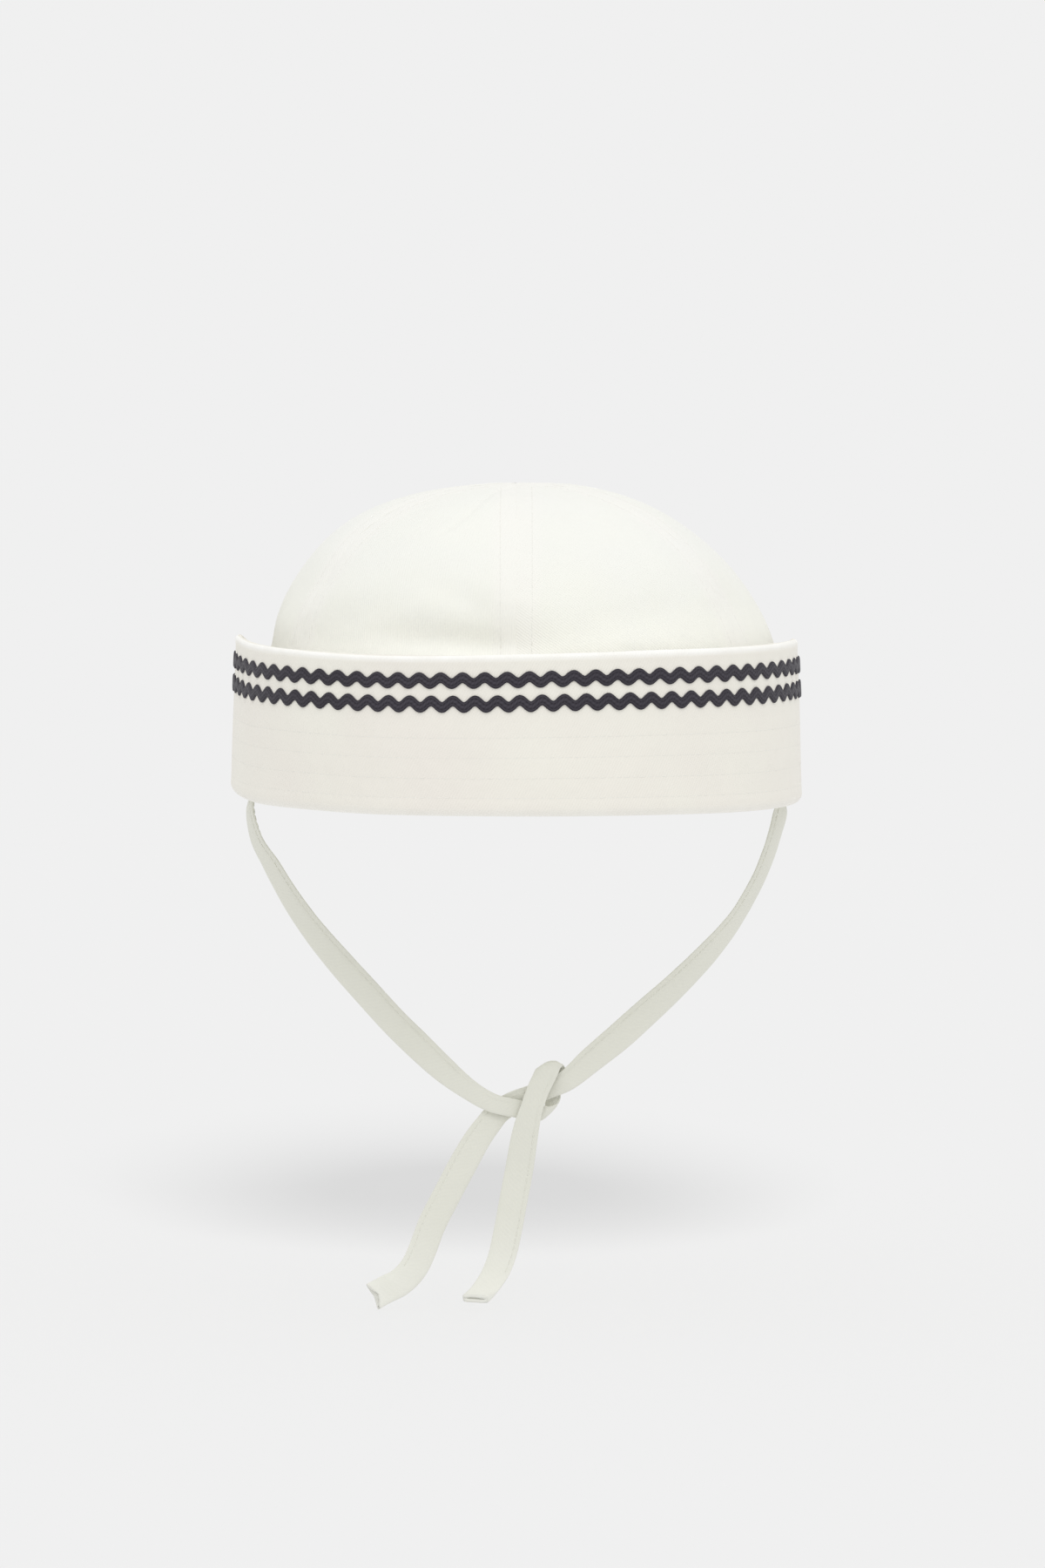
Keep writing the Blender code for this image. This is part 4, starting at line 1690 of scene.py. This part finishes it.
@dataclass(eq=False)
class ChinTie:
    """A flat tie: a folded strip of twill, stitched along one edge, open at its free end.

    front is 1 or -1, for the face that the notch is deepest in. crest is the place on the route where the tie
    folds over at the top of the knot.
    """

    name: str
    route: tuple[Ribbon, ...]
    groups: GroupKit
    finish: TwillFinish
    thread: bpy.types.Material
    painted_end_light: Colour
    notch: float
    front: int
    crest: int | None = None
    width: float = 0.008
    thickness: float = 0.0016
    pressed_thickness: float = 0.0012
    pressed_share: float = 0.86
    step: float = 0.0006
    round_steps: int = 32
    edge_power: float = 0.6
    face_power: float = 0.66
    end_edge_power: float = 0.35
    end_face_power: float = 0.36
    row_from_edge: float = 0.0014
    lip_share: float = 0.62
    lip_edge: float = 0.0004
    groove: float = 0.00009
    groove_width: float = 0.0005
    pucker: float = 0.00008
    pucker_size: float = 0.0045
    pucker_stretch: float = 0.6
    camber: float = 0.0013
    camber_reach: float = 0.0045
    mouth_depth: float = 0.0014
    mouth_rim: float = 0.00092
    flare: float = 0.45
    flare_length: float = 0.009
    notch_length: float = 0.004
    notch_aside: float = 0.2
    back_notch_share: float = 0.35
    painted_end_light_length: float = 0.030
    thread_seat: float = 0.9
    crest_seat: float = 0.4
    stitching: Stitching = field(
        default_factory=lambda: Stitching(pitch=0.0022, thread=0.00024, rise_share=0.04, tug_share=0.25)
    )

    @cached_property
    def stations(self) -> list[float]:
        """Measure the route.

        Returns:
            The length from the sewn end to each of its places.
        """
        lengths = [0.0]
        for before, after in zip(self.route, self.route[1:]):
            lengths.append(lengths[-1] + (Vector(after[:3]) - Vector(before[:3])).length)
        return lengths

    @property
    def length(self) -> float:
        """Give the whole length of the tie."""
        return self.stations[-1]

    @lru_cache(maxsize=None)
    def section(self, at: float) -> tuple[Vector, Vector, Vector, float, float]:
        """Read the tie at a length from its sewn end.

        Args:
            at: The length.

        Returns:
            Its middle, the directions across it and out of its face, its width and its thickness.
        """
        here = Ribbon(*hermite(self.stations, self.route, at))
        ahead = Vector(hermite(self.stations, self.route, min(self.length, at + self.step))[:3])
        behind = Vector(hermite(self.stations, self.route, max(0.0, at - self.step))[:3])
        across = Vector((here.across_x, here.across_y, here.across_z)).normalized()
        facing = (ahead - behind).cross(across).normalized()
        free = ease((here.width_share - self.pressed_share) / (1 - self.pressed_share))
        thickness = self.pressed_thickness + (self.thickness - self.pressed_thickness) * free
        return Vector(here[:3]), across, facing, self.width * here.width_share, thickness

    def point(self, at: float, turn: float) -> Vector:
        """Give a point of the tie's surface.

        Args:
            at: Length from the sewn end.
            turn: Place round its flat section, 0 to 1.

        Returns:
            The point.
        """
        near_end = ease(1 - (self.length - at) / self.flare_length)
        edge_power = self.edge_power + (self.end_edge_power - self.edge_power) * near_end
        face_power = self.face_power + (self.end_face_power - self.face_power) * near_end
        aside, face = flat_oval(turn, edge_power, face_power)
        near_notch = ease(1 - (self.length - at) / self.notch_length)
        in_front = ease(0.5 + face * self.front)
        cut = self.notch * (self.back_notch_share + (1 - self.back_notch_share) * in_front)
        at -= cut * near_notch * (1 - abs(aside + self.notch_aside) / (1 + self.notch_aside))
        middle, across, facing, width, thickness = self.section(at)
        beside = width / 2 * aside
        row = width / 2 - self.row_from_edge
        on_lip = ease((beside - row) / self.lip_edge) * (1 - near_end)
        half = thickness / 2 * (1 + self.flare * near_end) * (1 - (1 - self.lip_share) * on_lip)
        in_groove = bell(beside - row, self.groove_width) * (1 - near_end)
        pull = self.groove * self.stitching.tug(at) * in_groove
        flat = Vector((at, self.pucker_stretch * beside, 0))
        lumps = self.pucker * soft_noise(flat, self.pucker_size, seed=11.0)
        lumps -= self.crest_camber(at) * aside * aside
        return middle + across * beside + facing * (face * (half - pull) + lumps)

    def crest_camber(self, at: float) -> float:
        """Give how far the tie's edges curl down where it folds over at the top of the knot.

        Args:
            at: Length from the sewn end.

        Returns:
            The distance, in metres.
        """
        if self.crest is None:
            return 0.0
        return self.camber * bell(at - self.stations[self.crest], self.camber_reach)

    def cloth(self) -> bpy.types.Material:
        """Build the tie's own twill, with painted light towards its free end, which hangs out of the cap's
        shade.

        Returns:
            The new material.
        """
        start = (self.length - self.painted_end_light_length / 2) * MILLIMETRES
        reach = (self.length + self.painted_end_light_length) * MILLIMETRES
        softness = self.painted_end_light_length / 2 * MILLIMETRES
        # Painted light: the tie is painted paler towards its free end.
        tint_and_light_strip = StripTintAndPaintedLight(self.painted_end_light, reach, start, softness, share=0.85, measure=SeamMeasure.ALONG)
        own = replace(self.finish, name=f"{self.finish.name} {self.name}", tints_and_painted_light=(tint_and_light_strip,))
        return own.material(self.groups)

    def build_strip(self) -> bpy.types.Object:
        """Build the strip, with the open mouth at its free end.

        Returns:
            The new piece.
        """
        columns = round(self.length / self.step)

        def seam(u: float, v: float) -> tuple[float, float]:
            """Measure from the stitched edge and along the tie."""
            return self.width / 2 * (1 - math.cos(math.tau * v)), u * self.length

        bm = PieceKit.laid_grid(
            columns,
            self.round_steps,
            lambda u, v: self.point(u * self.length, v % 1),
            lambda u, v: (u * self.length, self.width * (abs(2 * v - 1) - 0.5)),
            seam,
        )
        self._open_mouth(bm)
        bmesh.ops.recalc_face_normals(bm, faces=bm.faces)
        return PieceKit.piece(f"{self.name}_chin_tie", bm, self.cloth(), "tie_twill", f"tie_{self.name}")

    def _open_mouth(self, bm: bmesh.types.BMesh) -> None:
        """Turn the rim of the free end inwards and close the sewn end.

        Args:
            bm: Bmesh of the strip.
        """
        end, across, facing, _, _ = self.section(self.length)
        inside = self.section(self.length - self.mouth_depth)[0]
        rims = [edge for edge in bm.edges if edge.is_boundary]
        free = [edge for edge in rims if all((vert.co - end).length < self.width for vert in edge.verts)]
        sewn = [edge for edge in rims if edge not in free]
        bmesh.ops.holes_fill(bm, edges=sewn, sides=0)
        for is_rim in (True, False):
            made = bmesh.ops.extrude_edge_only(bm, edges=free)["geom"]
            free = [item for item in made if isinstance(item, bmesh.types.BMEdge)]
            for vert in (item for item in made if isinstance(item, bmesh.types.BMVert)):
                if not is_rim:
                    vert.co += inside - end
                    continue
                up = (vert.co - end).dot(facing)
                side = (vert.co - end).dot(across)
                inset_up = math.copysign(min(abs(up), self.mouth_rim), up)
                inset_side = math.copysign(min(abs(side), self.mouth_rim), side)
                vert.co -= facing * inset_up + across * inset_side
        bmesh.ops.holes_fill(bm, edges=free, sides=0)

    def build_stitches(self) -> bpy.types.Object:
        """Build the stitches along the tie, on both faces.

        Returns:
            The new piece.
        """
        bm = bmesh.new()
        pitch = self.stitching.pitch
        count = int((self.length - self.flare_length) / pitch)
        for face in (1, -1):
            holes = []
            for k in range(count):
                middle, across, facing, width, thickness = self.section(k * pitch)
                beside = width / 2 - self.row_from_edge
                raised = face * (thickness / 2 * self.thread_seat - self.groove)
                raised -= self.crest_camber(k * pitch) * self.crest_seat
                holes.append((middle + across * beside + facing * raised, facing * face))
            for (start, outward), (end, _) in zip(holes, holes[1:]):
                self.stitching.sew(bm, start, end, outward)
        return PieceKit.piece(f"{self.name}_tie_stitches", bm, self.thread, "tie_twill")

    def build(self) -> list[bpy.types.Object]:
        """Returns:
            The strip and its stitches.
        """
        strip = self.build_strip()
        stitches = self.build_stitches()
        self.length
        log.info("%s tie: %.0f mm long", self.name, self.length * MILLIMETRES)
        return [strip, stitches]


# The studio


class LampReach(Enum):
    """What a lamp shines on."""

    CAP = "all but the floor"
    FLOOR = "the floor alone"


@dataclass(frozen=True)
class SunLamp:
    """A far, soft lamp: where it shines from, and how bright and how wide it is."""

    name: str
    azimuth: float
    elevation: float
    strength: float
    spread: float
    reach: LampReach


@dataclass(frozen=True)
class Studio:
    """The camera, the lamps and the pale floor."""

    floor_height: float
    target: tuple[float, float, float] = (0.00175, 0.0, 0.00375)
    elevation: float = 3.6
    distance: float = 2.2
    lens: float = 176.0
    film: float = 36.0
    backdrop: Colour = (0.871, 0.871, 0.871)
    surround: Colour = (0.845, 0.845, 0.845)
    floor_colour: Colour = (0.25, 0.25, 0.25)
    floor_glow: float = 0.499
    floor_radius: float = 3.0
    floor_plain: float = 0.9
    floor_segments: int = 96
    speck_scale: float = 900.0
    speck_share: float = 0.06
    speck_tone: float = 0.97
    lamps: tuple[SunLamp, ...] = (
        SunLamp("Overhead softbox", 9, 62, 0.86, 60, LampReach.CAP),
        SunLamp("Floor softbox", 3.8, 31.5, 3.9, 16, LampReach.FLOOR),
    )

    def build_camera(self) -> None:
        """Set the camera up in front of the cap."""
        data = bpy.data.cameras.new("Front view")
        data.lens = self.lens
        data.sensor_fit = "VERTICAL"
        data.sensor_height = self.film
        camera = add_to_scene("Front view", data)
        tilt = math.radians(self.elevation)
        back = Vector((0, -math.cos(tilt), math.sin(tilt)))
        camera.location = Vector(self.target) + back * self.distance
        camera.rotation_euler = back.to_track_quat("Z", "Y").to_euler()
        bpy.context.scene.camera = camera

    @staticmethod
    def linked(name: str, objects: Sequence[bpy.types.Object], included: bool) -> bpy.types.Collection:
        """Make a collection for a lamp's light linking.

        Args:
            name: Name of the collection.
            objects: Objects to put in it.
            included: Whether the lamp takes them in. If not, it leaves them out.

        Returns:
            The new collection.
        """
        made = bpy.data.collections.new(name)
        for item in objects:
            made.objects.link(item)
        for entry in made.collection_objects:
            entry.light_linking.link_state = "INCLUDE" if included else "EXCLUDE"
        return made

    def build_lamps(self, floor: bpy.types.Object, ties: Sequence[bpy.types.Object]) -> None:
        """Hang the lamps and light the surroundings.

        Args:
            floor: The floor, which one lamp leaves out and the other lights alone.
            ties: The pieces of the chin ties, which leave no shadow on the floor.
        """
        for lamp in self.lamps:
            data = bpy.data.lights.new(lamp.name, "SUN")
            data.energy = lamp.strength
            data.angle = math.radians(lamp.spread)
            made = add_to_scene(lamp.name, data)
            turn, tilt = math.radians(lamp.azimuth), math.radians(lamp.elevation)
            towards = Vector(
                (math.sin(turn) * math.cos(tilt), -math.cos(turn) * math.cos(tilt), math.sin(tilt))
            )
            made.location = towards * self.distance
            made.rotation_euler = towards.to_track_quat("Z", "Y").to_euler()
            floor_only = lamp.reach is LampReach.FLOOR
            lit = self.linked(f"{lamp.name} receivers", [floor], included=floor_only)
            made.light_linking.receiver_collection = lit
            if floor_only:
                blockers = self.linked(f"{lamp.name} blockers", ties, included=False)
                made.light_linking.blocker_collection = blockers
        self.light_surroundings()

    def light_surroundings(self) -> None:
        """Light everything softly from all round, before a plain pale backdrop."""
        world = bpy.data.worlds.new("Studio")
        world.use_nodes = True
        book = NodeBook(world.node_tree)
        seen = book.feed(book.add("Background"), Color=(*self.backdrop, 1))
        shed = book.feed(book.add("Background"), Color=(*self.surround, 1))
        both = book.add("MixShader")
        book.tree.links.new(book.add("LightPath").outputs["Is Camera Ray"], both.inputs[0])
        book.tree.links.new(shed.outputs[0], both.inputs[1])
        book.tree.links.new(seen.outputs[0], both.inputs[2])
        book.feed(book.add("OutputWorld"), Surface=both.outputs[0])
        bpy.context.scene.world = world
        bpy.context.scene.view_settings.view_transform = "Standard"

    def build_floor(self) -> bpy.types.Object:
        """Lay the pale, faintly lit floor, which fades into the backdrop far from the cap.

        Returns:
            The floor.
        """
        bm = bmesh.new()
        bmesh.ops.create_circle(
            bm,
            cap_ends=True,
            segments=self.floor_segments,
            radius=self.floor_radius,
            matrix=Matrix.Translation((0, 0, self.floor_height)),
        )
        mesh = bpy.data.meshes.new("pale_floor")
        bm.to_mesh(mesh)
        bm.free()
        material = bpy.data.materials.new("Pale paper")
        material.use_nodes = True
        book = NodeBook(material.node_tree)
        place = book.add("TexCoord").outputs["Object"]
        length = book.add("VectorMath", operation="LENGTH")
        book.tree.links.new(place, length.inputs[0])
        fade = book.add("MapRange", interpolation_type="SMOOTHSTEP")
        book.feed(fade, Value=length.outputs["Value"], From_Min=self.floor_plain, From_Max=self.floor_radius)
        alpha = book.math("SUBTRACT", 1.0, fade.outputs[0])
        speck = book.math("MULTIPLY", book.noise(place, self.speck_scale), self.speck_share)
        speckled = tuple(self.speck_tone * part for part in self.floor_colour)
        colour = book.mix(speck, self.floor_colour, speckled)
        shader = book.feed(book.add("BsdfPrincipled"), Base_Color=colour, Roughness=0.95, Alpha=alpha)
        shader.inputs["Specular IOR Level"].default_value = 0.0
        shader.inputs["Emission Color"].default_value = (1, 1, 1, 1)
        shader.inputs["Emission Strength"].default_value = self.floor_glow
        book.feed(book.add("OutputMaterial"), Surface=shader.outputs[0])
        mesh.materials.append(material)
        floor = add_to_scene("pale_floor", mesh)
        return floor


# The whole cap


CROWN_COLOUR = (0.879, 0.882, 0.849)
CROWN_SECOND = (0.864, 0.866, 0.812)
CROWN_VALLEY = (0.785, 0.79, 0.73)
# Painted shade with a faint yellow tint on the low crown; painted light on its strip by the brim, against the
# brim's shade.
CROWN_LOW_PAINTED_SHADE_AND_YELLOW = (0.85, 0.848, 0.752)
CROWN_BASE_PAINTED_LIGHT = (0.93, 0.927, 0.86)
CROWN_HOLE = (0.58, 0.58, 0.50)
CROWN_SEAM = (0.895, 0.872, 0.84)
BRIM_COLOUR = (0.885, 0.85, 0.787)
BRIM_SECOND = (0.875, 0.856, 0.78)
BRIM_VALLEY = (0.79, 0.753, 0.688)
BRIM_HOLE = (0.55, 0.53, 0.47)
# Painted highlight on the brim's top fold; painted light on its lower fold, which faces down into shade.
BRIM_TOP_PAINTED_HIGHLIGHT = (0.96, 0.955, 0.92)
BRIM_FOLD_PAINTED_LIGHT = (0.95, 0.935, 0.88)
TIE_COLOUR = (0.79, 0.79, 0.712)
TIE_VALLEY = (0.71, 0.71, 0.63)
TIE_HOLE = (0.52, 0.52, 0.44)
# Painted light on the ties' lower ends.
TIE_END_PAINTED_LIGHT = (0.86, 0.86, 0.80)
TIE_THREAD = (0.83, 0.83, 0.755)
TIE_THREAD_SHADE = (0.76, 0.76, 0.68)
WHITE_THREAD = (0.90, 0.895, 0.85)
WHITE_THREAD_SHADE = (0.80, 0.795, 0.74)
NAVY = (0.018, 0.015, 0.022)
NAVY_RIDGE = (0.066, 0.060, 0.076)


def main() -> None:
    """Build the cap's sub-assemblies in order and stand them in the studio."""
    logging.basicConfig(level=logging.INFO, format="%(message)s")
    groups = GroupKit()
    form = CapForm()
    studio = Studio(floor_height=min(corner[2] for corner in CAD_BOX) - form.clearance)
    studio.build_camera()
    log.info("Camera set")

    tie_twill = TwillFinish(
        "Tie twill",
        TIE_COLOUR,
        TIE_VALLEY,
        TIE_HOLE,
        ClothLay.ALONG_TIE,
        pitch=0.6,
        hole_share=0.05,
        groove_share=0.4,
        valley_share=0.22,
        relief=0.00002,
        rows=(StitchRow(ChinTie.row_from_edge * MILLIMETRES, pitch=2.2, size=0.3),),
    )
    tie_thread = ThreadFinish("Tie thread", TIE_THREAD, TIE_THREAD_SHADE).material(groups)
    # The last colour is painted light on each tie's lower end.
    shared = (groups, tie_twill, tie_thread, TIE_END_PAINTED_LIGHT)
    ties = ChinTie("left", LEFT_TIE, *shared, notch=0.0003, front=1, crest=25).build()
    ties += ChinTie("right", RIGHT_TIE, *shared, notch=0.0024, front=-1).build()

    # The low crown is painted darker and yellower: painted shade with a faint yellow tint. Its strip by the
    # brim is painted lighter: painted light against the brim's shade. The seam band's tint is the seam
    # allowance's extra layers.
    crown_tints_and_painted_light = (
        StripTintAndPaintedLight(CROWN_LOW_PAINTED_SHADE_AND_YELLOW, 58.0, start=-40.0, softness=13.0, share=0.55, measure=SeamMeasure.ALONG),
        StripTintAndPaintedLight(CROWN_BASE_PAINTED_LIGHT, 45.0, start=-40.0, softness=6.0, share=0.80, measure=SeamMeasure.ALONG),
        StripTintAndPaintedLight(CROWN_SEAM, Crown.allowance * MILLIMETRES, softness=1.6, share=0.35),
    )
    crown_cloth = {
        lay: TwillFinish(
            f"Crown twill {lay.name.lower()}",
            CROWN_COLOUR,
            CROWN_VALLEY,
            CROWN_HOLE,
            lay,
            rows=(StitchRow(Crown.row_from_seam * MILLIMETRES),),
            hole_share=0.25,
            groove_share=0.2,
            tints_and_painted_light=crown_tints_and_painted_light,
            second=CROWN_SECOND,
        ).material(groups)
        for lay in (ClothLay.STEEP, ClothLay.DIAGONAL)
    }
    white_thread = ThreadFinish("White thread", WHITE_THREAD, WHITE_THREAD_SHADE).material(groups)
    Crown(form, crown_cloth, white_thread).build()

    brim_cloth = TwillFinish(
        "Brim twill",
        BRIM_COLOUR,
        BRIM_VALLEY,
        BRIM_HOLE,
        ClothLay.BAND,
        hole_share=0.15,
        groove_share=0.15,
        rows=tuple(StitchRow(drop * MILLIMETRES) for drop in Brim.stitch_drops),
        # Painted highlight along the top fold; painted light on the lower fold, which faces down into shade.
        tints_and_painted_light=(
            StripTintAndPaintedLight(BRIM_TOP_PAINTED_HIGHLIGHT, 1.4, start=-0.6, softness=0.6, share=1.0),
            StripTintAndPaintedLight(BRIM_FOLD_PAINTED_LIGHT, 60.0, start=43.6, softness=1.2, share=0.9),
        ),
        second=BRIM_SECOND,
    ).material(groups)
    brim = Brim(form, brim_cloth, white_thread)
    brim.build()

    navy = BraidFinish("Navy braid", NAVY, NAVY_RIDGE).material(groups)
    RicRack(form, brim, navy, "upper", drop=0.0069, shift=0.655).build()
    RicRack(form, brim, navy, "lower", drop=0.0135, shift=0.085, swing=0.00091).build()

    studio.build_lamps(studio.build_floor(), ties)
    log.info("Studio lit")


if __name__ == "__main__":
    main()
